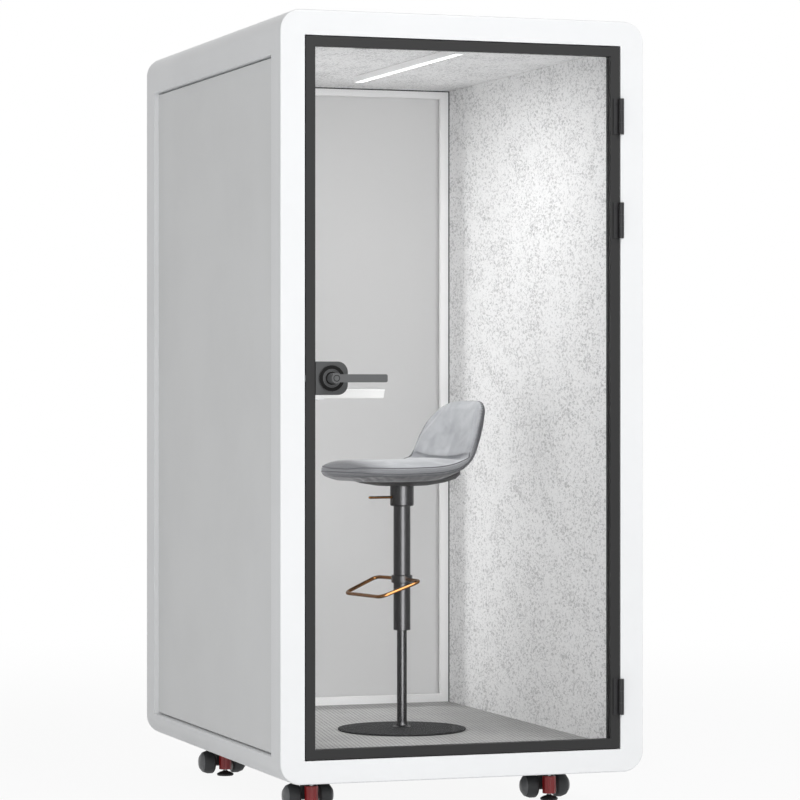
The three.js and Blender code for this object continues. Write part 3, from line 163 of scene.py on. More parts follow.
class Paint:
    """The nodes of one material while it is being made."""

    def __init__(self, name: str) -> None:
        """Start a material with an empty Principled surface."""
        self.material = bpy.data.materials.new(name)
        self.material.use_nodes = True
        self.tree = self.material.node_tree
        self.body = self.tree.nodes["Principled BSDF"]
        self.output = self.tree.nodes["Material Output"]

    def node(self, kind: str, settings: dict, inputs: dict, output: Union[int, str] = 0) -> Field:
        """Add a node.

        Args:
            kind: The node's type without its usual prefix.
            settings: Its own properties, which are set first.
            inputs: Values or fields for its sockets, by index or name.
            output: The output to hand back.

        Returns:
            The chosen output as a field.
        """
        made = self.tree.nodes.new("ShaderNode" + kind)
        for name, value in settings.items():
            setattr(made, name, value)
        for key, value in inputs.items():
            self.plug(made.inputs[key], value)
        return Field(self, made.outputs[output])

    def plug(self, socket: bpy.types.NodeSocket, value: Plug) -> None:
        """Link a field to a socket, or set the socket's own value."""
        if isinstance(value, Field):
            self.tree.links.new(value.socket, socket)
        else:
            socket.default_value = value

    def place(self, stretch: Point = (1.0, 1.0, 1.0), turn: float = 0.0) -> Field:
        """Give the piece's own coordinates, stretched and turned about Z."""
        own = self.node("TexCoord", {}, {}, "Object")
        return self.node("Mapping", {}, {0: own, "Scale": stretch, "Rotation": (0.0, 0.0, turn)})

    def axes(self, place: Field) -> tuple[Field, Field, Field]:
        """Split a place into its three numbers."""
        x = self.node("SeparateXYZ", {}, {0: place})
        return x, x.sibling(1), x.sibling(2)

    def noise(self, place: Field, scale: float, detail: float = 2.0, rough: float = 0.5,
              distortion: float = 0.0) -> Field:
        """Add a noise of about that many features to the metre."""
        inputs = {"Vector": place, "Scale": scale, "Detail": detail, "Roughness": rough,
                  "Distortion": distortion}
        return self.node("TexNoise", {}, inputs)

    def blend(self, share: Number, first: Plug, second: Plug) -> Field:
        """Mix two colours."""
        settings = {"data_type": "RGBA"}
        return self.node("Mix", settings, {0: share, 6: first, 7: second}, 2)

    def bump(self, height: Field, depth: float, under: Optional[Field] = None) -> Field:
        """Raise the surface by a height of 0 to 1 times depth."""
        inputs = {"Height": height, "Distance": depth, "Strength": 1.0}
        if under is not None:
            inputs["Normal"] = under
        return self.node("Bump", {}, inputs)

    def edge(self, radius: float) -> Field:
        """Give 1 along the edges of the piece and 0 on its faces."""
        soft = self.node("Bevel", {"samples": 4}, {"Radius": radius})
        flat = self.node("NewGeometry", {}, {}, "Normal")
        both = self.node("VectorMath", {"operation": "DOT_PRODUCT"}, {0: soft, 1: flat}, "Value")
        return (1.0 - both).ramp(0.02, 0.25)

    def surface(self, inputs: dict) -> None:
        """Set the sockets of the Principled surface."""
        for name, value in inputs.items():
            self.plug(self.body.inputs[name], value)

    def cover(self, share: Field, over: Field) -> None:
        """Show another shader in place of the surface, by a share."""
        both = self.node("MixShader", {}, {0: share, 2: over})
        self.tree.links.new(self.body.outputs[0], both.socket.node.inputs[1])
        self.tree.links.new(both.socket, self.output.inputs["Surface"])

    def rays(self, *kinds: str) -> Field:
        """Give 1 for rays of the named kinds and 0 for the others."""
        path = self.node("LightPath", {}, {}, kinds[0])
        share = path
        for kind in kinds[1:]:
            share = share.larger(path.sibling(kind))
        return share


class Grain(Enum):
    """Which way the fine grain of a surface runs, as a stretch of its pattern."""

    EVEN = (1.0, 1.0, 1.0)
    ALONG_X = (0.03, 1.0, 1.0)
    ALONG_Y = (1.0, 0.03, 1.0)
    ALONG_Z = (1.0, 1.0, 0.03)


MADE: dict[str, bpy.types.Material] = {}


@dataclass(frozen=True)
class Finish:
    """A named surface finish, made once and shared."""

    name: str

    def material(self) -> bpy.types.Material:
        """Make the material, or find it again."""
        if self.name not in MADE:
            paint = Paint(self.name)
            self.lay(paint)
            MADE[self.name] = paint.material
        return MADE[self.name]

    def lay(self, paint: Paint) -> None:
        """Build the finish's nodes."""
        raise NotImplementedError


@dataclass(frozen=True)
class Coating(Finish):
    """Paint, plastic or metal with a fine grain, faint clouds and rubbed edges."""

    colour: Colour
    roughness: float
    metallic: float = 0.0
    coat: float = 0.0
    grain: Grain = Grain.EVEN
    grain_size: float = 0.0012
    grain_depth: float = 0.00002
    cloud: float = 0.25
    rubbed: Optional[Colour] = None
    rub_width: float = 0.0016
    gloss: float = 0.5

    def tint(self, paint: Paint, broad: Field) -> Field:
        """Give the colour before the edges are rubbed."""
        dusk = mix_tones(self.colour, tone(70, 68, 64), 0.12)
        return paint.blend(broad.ramp(0.35, 0.8) * self.cloud, self.colour, dusk)

    def lay(self, paint: Paint) -> None:
        """Build the finish's nodes."""
        fine = paint.noise(paint.place(self.grain.value), 1 / self.grain_size, 2.0)
        broad = paint.noise(paint.place(), 3.1, 5.0, 0.62)
        colour = self.tint(paint, broad)
        rough = (broad - 0.5) * 0.16 + (fine - 0.5) * 0.12 + self.roughness
        if self.rubbed is not None:
            patchy = paint.edge(self.rub_width) * broad.ramp(0.3, 0.62)
            colour = paint.blend(patchy * 0.7, colour, self.rubbed)
            rough = rough - patchy * 0.1
        paint.surface({
            "Base Color": colour,
            "Roughness": rough,
            "Metallic": self.metallic,
            "Coat Weight": self.coat,
            "Coat Roughness": 0.12,
            "Specular IOR Level": self.gloss,
            "Normal": paint.bump(fine, self.grain_depth),
        })


@dataclass(frozen=True)
class MitredCoating(Coating):
    """A coating on a frame whose bars meet in fine diagonal joints."""

    half_width: float = 0.475
    middle: float = 1.192
    half_height: float = 1.013
    joint: float = 0.0007

    def tint(self, paint: Paint, broad: Field) -> Field:
        """Darken the joint lines that run inwards from the outer corners."""
        x, _, z = paint.axes(paint.place())
        offset = (abs(x) - self.half_width) - (abs(z - self.middle) - self.half_height)
        line = 1.0 - abs(offset).ramp(self.joint * 0.4, self.joint)
        return paint.blend(line * 0.8, super().tint(paint, broad), tone(8, 8, 9))


@dataclass(frozen=True)
class RingedCoating(Coating):
    """A coating with dark turned rings round an axis along Y."""

    centre: tuple[float, float] = (-0.401, 1.247)
    bands: tuple[tuple[float, float], ...] = ()
    band_colour: Colour = (0.002, 0.002, 0.002, 1.0)

    def tint(self, paint: Paint, broad: Field) -> Field:
        """Lay the dark rings over the plain coating."""
        x, _, z = paint.axes(paint.place())
        away = ((x - self.centre[0]) ** 2.0 + (z - self.centre[1]) ** 2.0) ** 0.5
        colour = super().tint(paint, broad)
        for inner, outer in self.bands:
            band = away.ramp(inner, inner + 0.0006) * (1.0 - away.ramp(outer - 0.0006, outer))
            colour = paint.blend(band, colour, self.band_colour)
        return colour


@dataclass(frozen=True)
class FeltBoard(Finish):
    """Pressed acoustic felt: pale fibres with drifts of dark flecks."""

    pale: Colour
    fleck: Colour
    fleck_size: float = 0.0072
    fleck_share: float = 0.78
    lie: Point = (1.0, 0.55, 1.0)

    def lay(self, paint: Paint) -> None:
        """Build the finish's nodes."""
        place = paint.place(self.lie)
        drift = paint.noise(place, 13.0, 3.0, 0.6)
        spots = paint.noise(place, 1 / self.fleck_size, 3.5, 0.62, 0.9)
        fibre = paint.noise(place, 620.0, 3.0, 0.7, 1.6)
        hair = paint.noise(paint.place((1.0, 1.0, 0.35), 0.4), 240.0, 2.0, 0.6, 2.2)
        level = spots + (drift - 0.5) * 0.28
        mask = level.ramp(0.47, 0.66) * self.fleck_share
        dull = mix_tones(self.pale, self.fleck, 0.5)
        soft = paint.blend((fibre - 0.5) * 0.5 + 0.25, self.pale, dull)
        colour = paint.blend(mask, soft, self.fleck)
        under = paint.bump(spots, 0.0006)
        paint.surface({
            "Base Color": colour,
            "Roughness": 0.9 + (fibre - 0.5) * 0.15,
            "Specular IOR Level": 0.2,
            "Sheen Weight": 0.15,
            "Normal": paint.bump(fibre * 0.6 + hair * 0.4, 0.0005, under),
        })


@dataclass(frozen=True)
class LoopCarpet(Finish):
    """Low loop carpet, woven in diagonal rows, with painted shade where the loops dip."""

    light: Colour
    dark: Colour
    row: float = 0.013
    loop: float = 0.006
    slant: float = math.radians(9.5)

    def lay(self, paint: Paint) -> None:
        """Build the finish's nodes."""
        place = paint.place()
        jitter = paint.noise(place, 90.0, 2.0) * 0.002
        x, y, _ = paint.axes(paint.place(turn=self.slant))
        across = ((x + jitter) * (2 * math.pi / self.row)).wave() * 0.5 + 0.5
        along = ((y + jitter) * (2 * math.pi / self.loop)).wave() * 0.5 + 0.5
        yarn = paint.noise(place, 480.0, 3.0, 0.7)
        patch = paint.noise(place, 7.0, 3.0)
        height = across * 0.5 + along * 0.5
        # Painted shade: the colour darkens where the loops dip (1 - height); the yarn and patch
        # terms are the carpet's own tone
        shade = (1.0 - height) * 0.55 + (yarn - 0.5) * 0.7 + (patch - 0.5) * 0.3 + 0.1
        paint.surface({
            "Base Color": paint.blend(shade.ramp(0.0, 1.0), self.light, self.dark),
            "Roughness": 0.92 + (yarn - 0.5) * 0.1,
            "Specular IOR Level": 0.15,
            "Sheen Weight": 0.1,
            "Normal": paint.bump(height + yarn * 0.35, 0.0012),
        })


@dataclass(frozen=True)
class Velvet(Finish):
    """Short-pile upholstery whose nap lies in soft patches."""

    colour: Colour
    brushed: Colour
    sheen: float = 0.55
    # side and under are shaded copies of the colour: painted shade for the side band and the
    # underside
    side: Optional[Colour] = None
    under: Optional[Colour] = None

    def lay(self, paint: Paint) -> None:
        """Build the finish's nodes."""
        place = paint.place()
        nap = paint.noise(place, 14.0, 4.0, 0.6, 0.7)
        pile = paint.noise(place, 1900.0, 2.0, 0.6)
        weave = paint.noise(place, 420.0, 2.0)
        colour = paint.blend(nap.ramp(0.3, 0.72) * 0.8 + (pile - 0.5) * 0.25,
                             self.colour, self.brushed)
        # Painted shade: the band attribute blends towards the darker side and under tones where the
        # pad turns away from the light
        if self.side is not None:
            band = paint.node("Attribute", {"attribute_name": "band"}, {}, "Fac")
            shade = paint.blend(band.ramp(1.0, 2.0), self.side, self.under or self.side)
            colour = paint.blend(band * 0.9 + (nap - 0.5) * 0.2, colour, shade)
        paint.surface({
            "Base Color": colour,
            "Roughness": 0.82 + (nap - 0.5) * 0.2,
            "Specular IOR Level": 0.25,
            "Sheen Weight": self.sheen,
            "Sheen Roughness": 0.35,
            "Normal": paint.bump(pile * 0.6 + weave * 0.4, 0.0003),
        })


@dataclass(frozen=True)
class ClearGlass(Finish):
    """Clear toughened glass that lets lamp light through."""

    tint: Colour

    def lay(self, paint: Paint) -> None:
        """Build the finish's nodes."""
        film = paint.noise(paint.place(), 5.0, 4.0)
        paint.surface({
            "Base Color": self.tint,
            "Roughness": film * 0.03,
            "Transmission Weight": 1.0,
            "IOR": 1.15,
        })
        open_air = paint.node("BsdfTransparent", {}, {0: self.tint})
        paint.cover(paint.rays("Is Shadow Ray", "Is Diffuse Ray"), open_air)


@dataclass(frozen=True)
class SatinGlass(Finish):
    """Satin glass: light comes through, but no shape does."""

    colour: Colour
    through: float = 0.75

    def lay(self, paint: Paint) -> None:
        """Build the finish's nodes."""
        place = paint.place()
        etch = paint.noise(place, 1500.0, 2.0)
        haze = paint.noise(place, 1.6, 3.0)
        dusk = mix_tones(self.colour, tone(120, 124, 126), 0.1)
        paint.surface({
            "Base Color": paint.blend(haze.ramp(0.3, 0.75) * 0.5, self.colour, dusk),
            "Roughness": 0.7 + (haze - 0.5) * 0.1,
            "Transmission Weight": self.through,
            "IOR": 1.3,
            "Normal": paint.bump(etch, 0.00002),
        })


@dataclass(frozen=True)
class OpalLamp(Finish):
    """A lit opal strip."""

    colour: Colour
    strength: float

    def lay(self, paint: Paint) -> None:
        """Build the finish's nodes."""
        _, y, _ = paint.axes(paint.place())
        diodes = (y * (2 * math.pi / 0.028)).wave() * 0.5 + 0.5
        haze = paint.noise(paint.place(), 900.0, 2.0)
        glow = paint.blend(diodes * 0.12 + haze * 0.06, self.colour, tone(232, 236, 240))
        paint.surface({
            "Base Color": self.colour,
            "Roughness": 0.4 + (haze - 0.5) * 0.1,
            "Emission Color": glow,
            "Emission Strength": self.strength,
        })


WHITE = Coating("white_powder_coat", tone(243, 244, 245), 0.42, grain_size=0.0016, cloud=0.2)
WALL = Coating("wall_powder_coat", tone(235, 236, 236), 0.46, grain_size=0.0016, cloud=0.25)
LAMINATE = Coating("white_laminate", tone(244, 244, 243), 0.5, gloss=0.2, grain_size=0.0008)
BLACK = Coating("anodised_black", tone(26, 26, 28), 0.45, grain_size=0.0009,
                rubbed=tone(70, 70, 72))
GRAPHITE = RingedCoating("satin_graphite", tone(88, 89, 90), 0.5, gloss=0.2,
                         grain=Grain.ALONG_X, rubbed=tone(140, 140, 140),
                         bands=((0.0262, 0.0375), (0.0, 0.0192)))
GRAPHITE_LEVER = RingedCoating("lever_graphite", tone(98, 99, 100), 0.46, gloss=0.3,
                               grain=Grain.ALONG_X, rubbed=tone(132, 132, 132),
                               bands=((0.0068, 0.0098),))
POST_BLACK = Coating("post_black", tone(72, 72, 73), 0.3, metallic=1.0, grain=Grain.ALONG_Z,
                     grain_depth=0.000003, rubbed=tone(96, 96, 98))
BASE_GREY = Coating("cast_base_grey", tone(34, 35, 36), 0.68, grain_size=0.0022,
                    grain_depth=0.00005, rubbed=tone(70, 70, 71), gloss=0.15)
CASTOR_GREY = Coating("castor_grey", tone(44, 45, 46), 0.55, grain_size=0.0022,
                      grain_depth=0.00008, rubbed=tone(90, 90, 91))
PAN_BLACK = Coating("moulded_black", tone(22, 22, 23), 0.6, grain_size=0.0011, grain_depth=0.00006)
DECK_STEEL = Coating("deck_steel", tone(64, 66, 68), 0.5, metallic=0.4, grain=Grain.ALONG_X)
STEEL = Coating("satin_steel", tone(188, 190, 192), 0.3, metallic=1.0, grain=Grain.ALONG_Z)
ROD_STEEL = Coating("bright_rod", tone(205, 207, 209), 0.16, metallic=1.0, grain=Grain.ALONG_Z)
LIGHT_BODY = Coating("light_body", tone(244, 244, 244), 0.5, grain=Grain.ALONG_Y)
# A brighter copy of the white powder coat: painted light, so that the rear window frame and bead
# look as lit as the front
LIT_WINDOW_WHITE = Coating("window_white_painted_light", tone(252, 252, 252), 0.4, grain_size=0.0016, cloud=0.1)
BRONZE = Coating("polished_bronze", tone(136, 94, 56), 0.2, metallic=1.0, grain_size=0.0014,
                 cloud=0.5, rubbed=tone(222, 178, 120))
RED = Coating("red_thumbwheel", tone(168, 26, 30), 0.36, coat=0.2, rubbed=tone(206, 92, 84))
TYRE = Coating("castor_tyre", tone(60, 61, 63), 0.6, grain_depth=0.00005)
HUB = Coating("castor_hub", tone(122, 123, 125), 0.48)
RUBBER = Coating("seal_rubber", tone(28, 28, 29), 0.72, grain_size=0.002, grain_depth=0.00008)
FELT = FeltBoard("acoustic_felt", tone(236, 236, 236), tone(160, 160, 161))
CARPET = LoopCarpet("loop_carpet", tone(180, 180, 179), tone(82, 82, 82))
# The seat velvet's side and under tones are painted shade for its side band, nose and underside
VELVET = Velvet("seat_velvet", tone(176, 178, 181), tone(150, 152, 156), sheen=0.4,
                side=tone(122, 123, 126), under=tone(80, 81, 84))
# The seam cords are dark to stand in for the shade in the seam grooves: painted shade
SEAM_SHADOW_CORD = Velvet("seam_cord", tone(88, 89, 92), tone(72, 73, 76), sheen=0.1)
THREAD = Velvet("seat_thread", tone(150, 152, 155), tone(126, 128, 131), sheen=0.2)
GLASS = ClearGlass("door_clear_glass", tone(252, 252, 252))
REAR_GLASS = SatinGlass("satin_glass", tone(217, 217, 217))
LAMP = OpalLamp("opal_lamp", tone(252, 252, 250), 1.15)


# Meshes

Picker = Callable[[Vector], int]
SMOOTH_ANGLE = math.radians(34)
FLAT_ANGLE = math.radians(0.6)
WELD = 2e-6


def unit(value: float) -> float:
    """Keep a value between 0 and 1."""
    return min(max(value, 0.0), 1.0)


def middle_of(node: str) -> Vector:
    """Give the middle of a CAD node's box."""
    low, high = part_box(node)
    return (low + high) / 2


def shaped(form: bmesh.types.BMesh, name: str) -> bpy.types.Mesh:
    """Turn a form into a mesh and let the form go."""
    mesh = bpy.data.meshes.new(name)
    form.to_mesh(mesh)
    form.free()
    return mesh


def skin(form: bmesh.types.BMesh, first: list[bmesh.types.BMVert],
         second: list[bmesh.types.BMVert]) -> None:
    """Join two rings of points by four-sided faces."""
    count = len(first)
    for i in range(count):
        j = (i + 1) % count
        form.faces.new((first[i], first[j], second[j], second[i]))


def stand(name: str, mesh: bpy.types.Mesh) -> bpy.types.Object:
    """Put a mesh in the scene at the origin."""
    made = bpy.data.objects.new(name, mesh)
    bpy.context.scene.collection.objects.link(made)
    return made


def merged_copy(node: str, name: str) -> bpy.types.Mesh:
    """Copy a CAD node's mesh with its triangles joined and its flat faces whole.

    Args:
        node: The CAD node.
        name: The new mesh's name.

    Returns:
        The joined mesh, shaded smooth.
    """
    form = bmesh.new()
    form.from_mesh(frame["nodes"][node].data)
    bmesh.ops.remove_doubles(form, verts=form.verts, dist=WELD)
    bmesh.ops.dissolve_limit(form, angle_limit=FLAT_ANGLE, verts=form.verts, edges=form.edges)
    for face in form.faces:
        face.smooth = True
    return shaped(form, name)


def soften(piece: bpy.types.Object, width: float, steps: int = 2) -> None:
    """Round a piece's sharp edges and keep its flat faces flat.

    Args:
        piece: The piece.
        width: How wide the rounding is.
        steps: Faces across the rounding.
    """
    bevel = piece.modifiers.new("edge_rounding", "BEVEL")
    bevel.width = width
    bevel.segments = steps
    bevel.limit_method = "ANGLE"
    bevel.angle_limit = SMOOTH_ANGLE
    bevel.harden_normals = True
    even = piece.modifiers.new("even_shading", "WEIGHTED_NORMAL")
    even.weight = 80
    even.keep_sharp = True


def dressed(node: str, finishes: Union[Finish, Sequence[Finish]], edge: float = 0.001,
            steps: int = 2, pick: Optional[Picker] = None) -> bpy.types.Object:
    """Stand a smooth-edged, finished copy in a CAD node's place.

    Args:
        node: The CAD node that the copy stands for.
        finishes: One finish, or several that pick chooses from.
        edge: Width of the edge rounding.
        steps: Faces across the rounding.
        pick: Gives a face's finish from the middle of the face.

    Returns:
        The new piece, riding on the node's body.
    """
    several = [finishes] if isinstance(finishes, Finish) else list(finishes)
    mesh = merged_copy(node, node + "_finished")
    for finish in several:
        mesh.materials.append(finish.material())
    if pick is not None:
        for face in mesh.polygons:
            face.material_index = pick(face.center)
    piece = stand(node + "_finished", mesh)
    soften(piece, edge, steps)
    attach(piece, frame["nodes"][node]["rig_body"])
    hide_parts(node)
    LOG.info("finished %s", node)
    return piece


def coat_node(node: str, finish: Finish) -> None:
    """Give a CAD node that keeps its own mesh a finish."""
    data = frame["nodes"][node].data
    data.materials.clear()
    data.materials.append(finish.material())
    LOG.info("coated %s", node)


def mount(piece: bpy.types.Object, body: str) -> bpy.types.Object:
    """Let an added piece ride on a body."""
    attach(piece, body)
    LOG.info("added %s", piece.name)
    return piece


# Node recipes for what repeats or follows a path


class Recipe:
    """A Geometry Nodes tree with named inputs, grown on a host and turned into a plain mesh."""

    def __init__(self, name: str, sizes: dict[str, float]) -> None:
        """Start a tree with a geometry input, a finish and one input for each size."""
        self.tree = bpy.data.node_groups.new(name, "GeometryNodeTree")
        sockets = self.tree.interface
        sockets.new_socket("Path", in_out="INPUT", socket_type="NodeSocketGeometry")
        self.keys: dict[str, str] = {}
        for label, value in sizes.items():
            kind = "NodeSocketInt" if isinstance(value, int) else "NodeSocketFloat"
            made = sockets.new_socket(label, in_out="INPUT", socket_type=kind)
            made.default_value = value
            self.keys[label] = made.identifier
        finish = sockets.new_socket("Finish", in_out="INPUT", socket_type="NodeSocketMaterial")
        self.keys["Finish"] = finish.identifier
        sockets.new_socket("Mesh", in_out="OUTPUT", socket_type="NodeSocketGeometry")
        self.start = self.tree.nodes.new("NodeGroupInput")
        self.end = self.tree.nodes.new("NodeGroupOutput")

    def size(self, label: str) -> bpy.types.NodeSocket:
        """Give the socket of a named input."""
        return self.start.outputs[label]

    def node(self, kind: str, settings: dict, inputs: dict,
             output: Union[int, str] = 0) -> bpy.types.NodeSocket:
        """Add a node.

        Args:
            kind: The node's full type.
            settings: Its own properties.
            inputs: Values or sockets, by index or name.
            output: The output to hand back.

        Returns:
            The chosen output socket.
        """
        made = self.tree.nodes.new(kind)
        for name, value in settings.items():
            setattr(made, name, value)
        for key, value in inputs.items():
            if isinstance(value, bpy.types.NodeSocket):
                self.tree.links.new(value, made.inputs[key])
            else:
                made.inputs[key].default_value = value
        return made.outputs[output]

    def close(self, geometry: bpy.types.NodeSocket) -> None:
        """End the tree: real mesh, smooth shading and the finish."""
        real = self.node("GeometryNodeRealizeInstances", {}, {0: geometry})
        smooth = self.node("GeometryNodeSetShadeSmooth", {}, {0: real})
        done = self.node("GeometryNodeSetMaterial", {},
                         {"Geometry": smooth, "Material": self.size("Finish")})
        self.tree.links.new(done, self.end.inputs[0])

    def grow(self, name: str, host: bpy.types.Mesh, finish: Finish,
             sizes: dict[str, float]) -> bpy.types.Object:
        """Run the tree on a host mesh.

        Args:
            name: The new piece's name.
            host: The points or path that the tree starts from.
            finish: The finish of the new piece.
            sizes: Values for the named inputs.

        Returns:
            A plain mesh object at the origin.
        """
        carrier = stand(name, host)
        grower = carrier.modifiers.new("grower", "NODES")
        grower.node_group = self.tree
        for label, value in sizes.items():
            grower[self.keys[label]] = value
        grower[self.keys["Finish"]] = finish.material()
        graph = bpy.context.evaluated_depsgraph_get()
        mesh = bpy.data.meshes.new_from_object(carrier.evaluated_get(graph), depsgraph=graph)
        carrier.modifiers.remove(grower)
        carrier.data = mesh
        mesh.name = name
        bpy.data.meshes.remove(host)
        return carrier


def path_mesh(points: Sequence[Point], closed: bool) -> bpy.types.Mesh:
    """Make a host line through points."""
    mesh = bpy.data.meshes.new("path")
    edges = [(i, i + 1) for i in range(len(points) - 1)]
    if closed:
        edges.append((len(points) - 1, 0))
    mesh.from_pydata([tuple(p) for p in points], edges, [])
    return mesh


def spot_mesh(spots: Sequence[tuple[Point, Point]]) -> bpy.types.Mesh:
    """Make a host of loose points, each with the way it faces."""
    mesh = bpy.data.meshes.new("spots")
    mesh.from_pydata([tuple(p) for p, _ in spots], [], [])
    facing = mesh.attributes.new("facing", "FLOAT_VECTOR", "POINT")
    facing.data.foreach_set("vector", [c for _, way in spots for c in way])
    return mesh


def round_bar_recipe() -> Recipe:
    """A round bar, cord or rod along a path."""
    recipe = Recipe("round_bar", {"Radius": 0.003, "Step": 0.004, "Sides": 16})
    line = recipe.node("GeometryNodeMeshToCurve", {}, {0: recipe.start.outputs[0]})
    even = recipe.node("GeometryNodeResampleCurve", {"mode": "LENGTH"},
                       {"Curve": line, "Length": recipe.size("Step")})
    ring = recipe.node("GeometryNodeCurvePrimitiveCircle", {},
                       {"Radius": recipe.size("Radius"), "Resolution": recipe.size("Sides")})
    bar = recipe.node("GeometryNodeCurveToMesh", {},
                      {"Curve": even, "Profile Curve": ring, "Fill Caps": True})
    recipe.close(bar)
    return recipe


def stitch_recipe() -> Recipe:
    """A row of short stitches along a path."""
    recipe = Recipe("stitch_row", {"Pitch": 0.006, "Length": 0.004, "Thickness": 0.0009})
    line = recipe.node("GeometryNodeMeshToCurve", {}, {0: recipe.start.outputs[0]})
    even = recipe.node("GeometryNodeResampleCurve", {"mode": "LENGTH"},
                       {"Curve": line, "Length": recipe.size("Pitch")})
    bead = recipe.node("GeometryNodeMeshIcoSphere", {}, {"Radius": 0.5, "Subdivisions": 1})
    along = recipe.node("GeometryNodeInputTangent", {}, {})
    turn = recipe.node("FunctionNodeAlignRotationToVector", {"axis": "X"}, {"Vector": along})
    scale = recipe.node("ShaderNodeCombineXYZ", {}, {0: recipe.size("Length"),
                        1: recipe.size("Thickness"), 2: recipe.size("Thickness")})
    row = recipe.node("GeometryNodeInstanceOnPoints", {},
                      {"Points": even, "Instance": bead, "Rotation": turn, "Scale": scale})
    recipe.close(row)
    return recipe


def screw_recipe() -> Recipe:
    """Round screw heads with a six-sided socket, one on each point."""
    recipe = Recipe("screw_heads", {"Radius": 0.0035, "Height": 0.0016})
    settings = {"fill_type": "NGON"}
    head = recipe.node("GeometryNodeMeshCylinder", settings, {"Vertices": 20,
                       "Radius": recipe.size("Radius"), "Depth": recipe.size("Height")})
    half = recipe.node("ShaderNodeMath", {"operation": "MULTIPLY"},
                       {0: recipe.size("Radius"), 1: 0.5})
    key = recipe.node("GeometryNodeMeshCylinder", settings, {"Vertices": 6, "Radius": half,
                      "Depth": recipe.size("Height")})
    lift = recipe.node("ShaderNodeCombineXYZ", {}, {2: recipe.size("Height")})
    up = recipe.node("GeometryNodeTransform", {}, {"Geometry": key, "Translation": lift})
    sunk = recipe.node("GeometryNodeTransform", {},
                       {"Geometry": up, "Scale": (1.0, 1.0, 0.75)})
    cut = recipe.node("GeometryNodeMeshBoolean", {"operation": "DIFFERENCE"}, {0: head, 1: sunk})
    facing = recipe.node("GeometryNodeInputNamedAttribute", {"data_type": "FLOAT_VECTOR"},
                         {"Name": "facing"})
    turn = recipe.node("FunctionNodeAlignRotationToVector", {"axis": "Z"}, {"Vector": facing})
    spots = recipe.node("GeometryNodeMeshToPoints", {}, {0: recipe.start.outputs[0]})
    row = recipe.node("GeometryNodeInstanceOnPoints", {},
                      {"Points": spots, "Instance": cut, "Rotation": turn})
    recipe.close(row)
    return recipe


def thread_recipe() -> Recipe:
    """A screw thread wound round a vertical stem that starts at the host's first point."""
    sizes = {"Radius": 0.0057, "Turns": 8.0, "Height": 0.014, "Ridge": 0.0005}
    recipe = Recipe("screw_thread", sizes)
    coil = recipe.node("GeometryNodeCurveSpiral", {}, {"Resolution": 20,
                       "Rotations": recipe.size("Turns"), "Start Radius": recipe.size("Radius"),
                       "End Radius": recipe.size("Radius"), "Height": recipe.size("Height")})
    ridge = recipe.node("GeometryNodeCurvePrimitiveCircle", {},
                        {"Radius": recipe.size("Ridge"), "Resolution": 6})
    wound = recipe.node("GeometryNodeCurveToMesh", {},
                        {"Curve": coil, "Profile Curve": ridge, "Fill Caps": True})
    spots = recipe.node("GeometryNodeMeshToPoints", {}, {0: recipe.start.outputs[0]})
    row = recipe.node("GeometryNodeInstanceOnPoints", {}, {"Points": spots, "Instance": wound})
    recipe.close(row)
    return recipe


# Sub-assemblies


@dataclass
class Shell:
    """The white body: ring frames, corner rails, wall panels, roof and deck."""

    ring_edge: float = 0.0015
    rail_edge: float = 0.0012
    panel_edge: float = 0.0008

    def build(self) -> None:
        """Finish the body's pieces."""
        for ring in ("front_ring", "rear_ring"):
            dressed(ring, WHITE, self.ring_edge, 3)
        for rail in ("top_left_rail", "top_right_rail", "bottom_left_rail", "bottom_right_rail"):
            dressed(rail, WHITE, self.rail_edge)
        for panel in ("left_wall_panel", "right_wall_panel", "roof_panel"):
            dressed(panel, WALL, self.panel_edge)
        dressed("roof_vent_cover", WHITE, self.rail_edge)
        dressed("base_deck", DECK_STEEL, self.rail_edge)


@dataclass
class Lining:
    """Felt on the walls and ceiling, and the carpet."""

    def build(self) -> None:
        """Finish the lining."""
        for board in ("left_felt", "right_felt", "ceiling_felt"):
            coat_node(board, FELT)
        coat_node("carpet", CARPET)


@dataclass
class CeilingFittings:
    """The light bar and the roof fan."""

    edge: float = 0.0008
    blade_edge: float = 0.0004

    def build(self) -> None:
        """Finish the fittings."""
        dressed("light_bar", LIGHT_BODY, self.edge)
        coat_node("light_diffuser", LAMP)
        dressed("fan_housing", PAN_BLACK, self.edge)
        dressed("fan_impeller", PAN_BLACK, self.blade_edge)


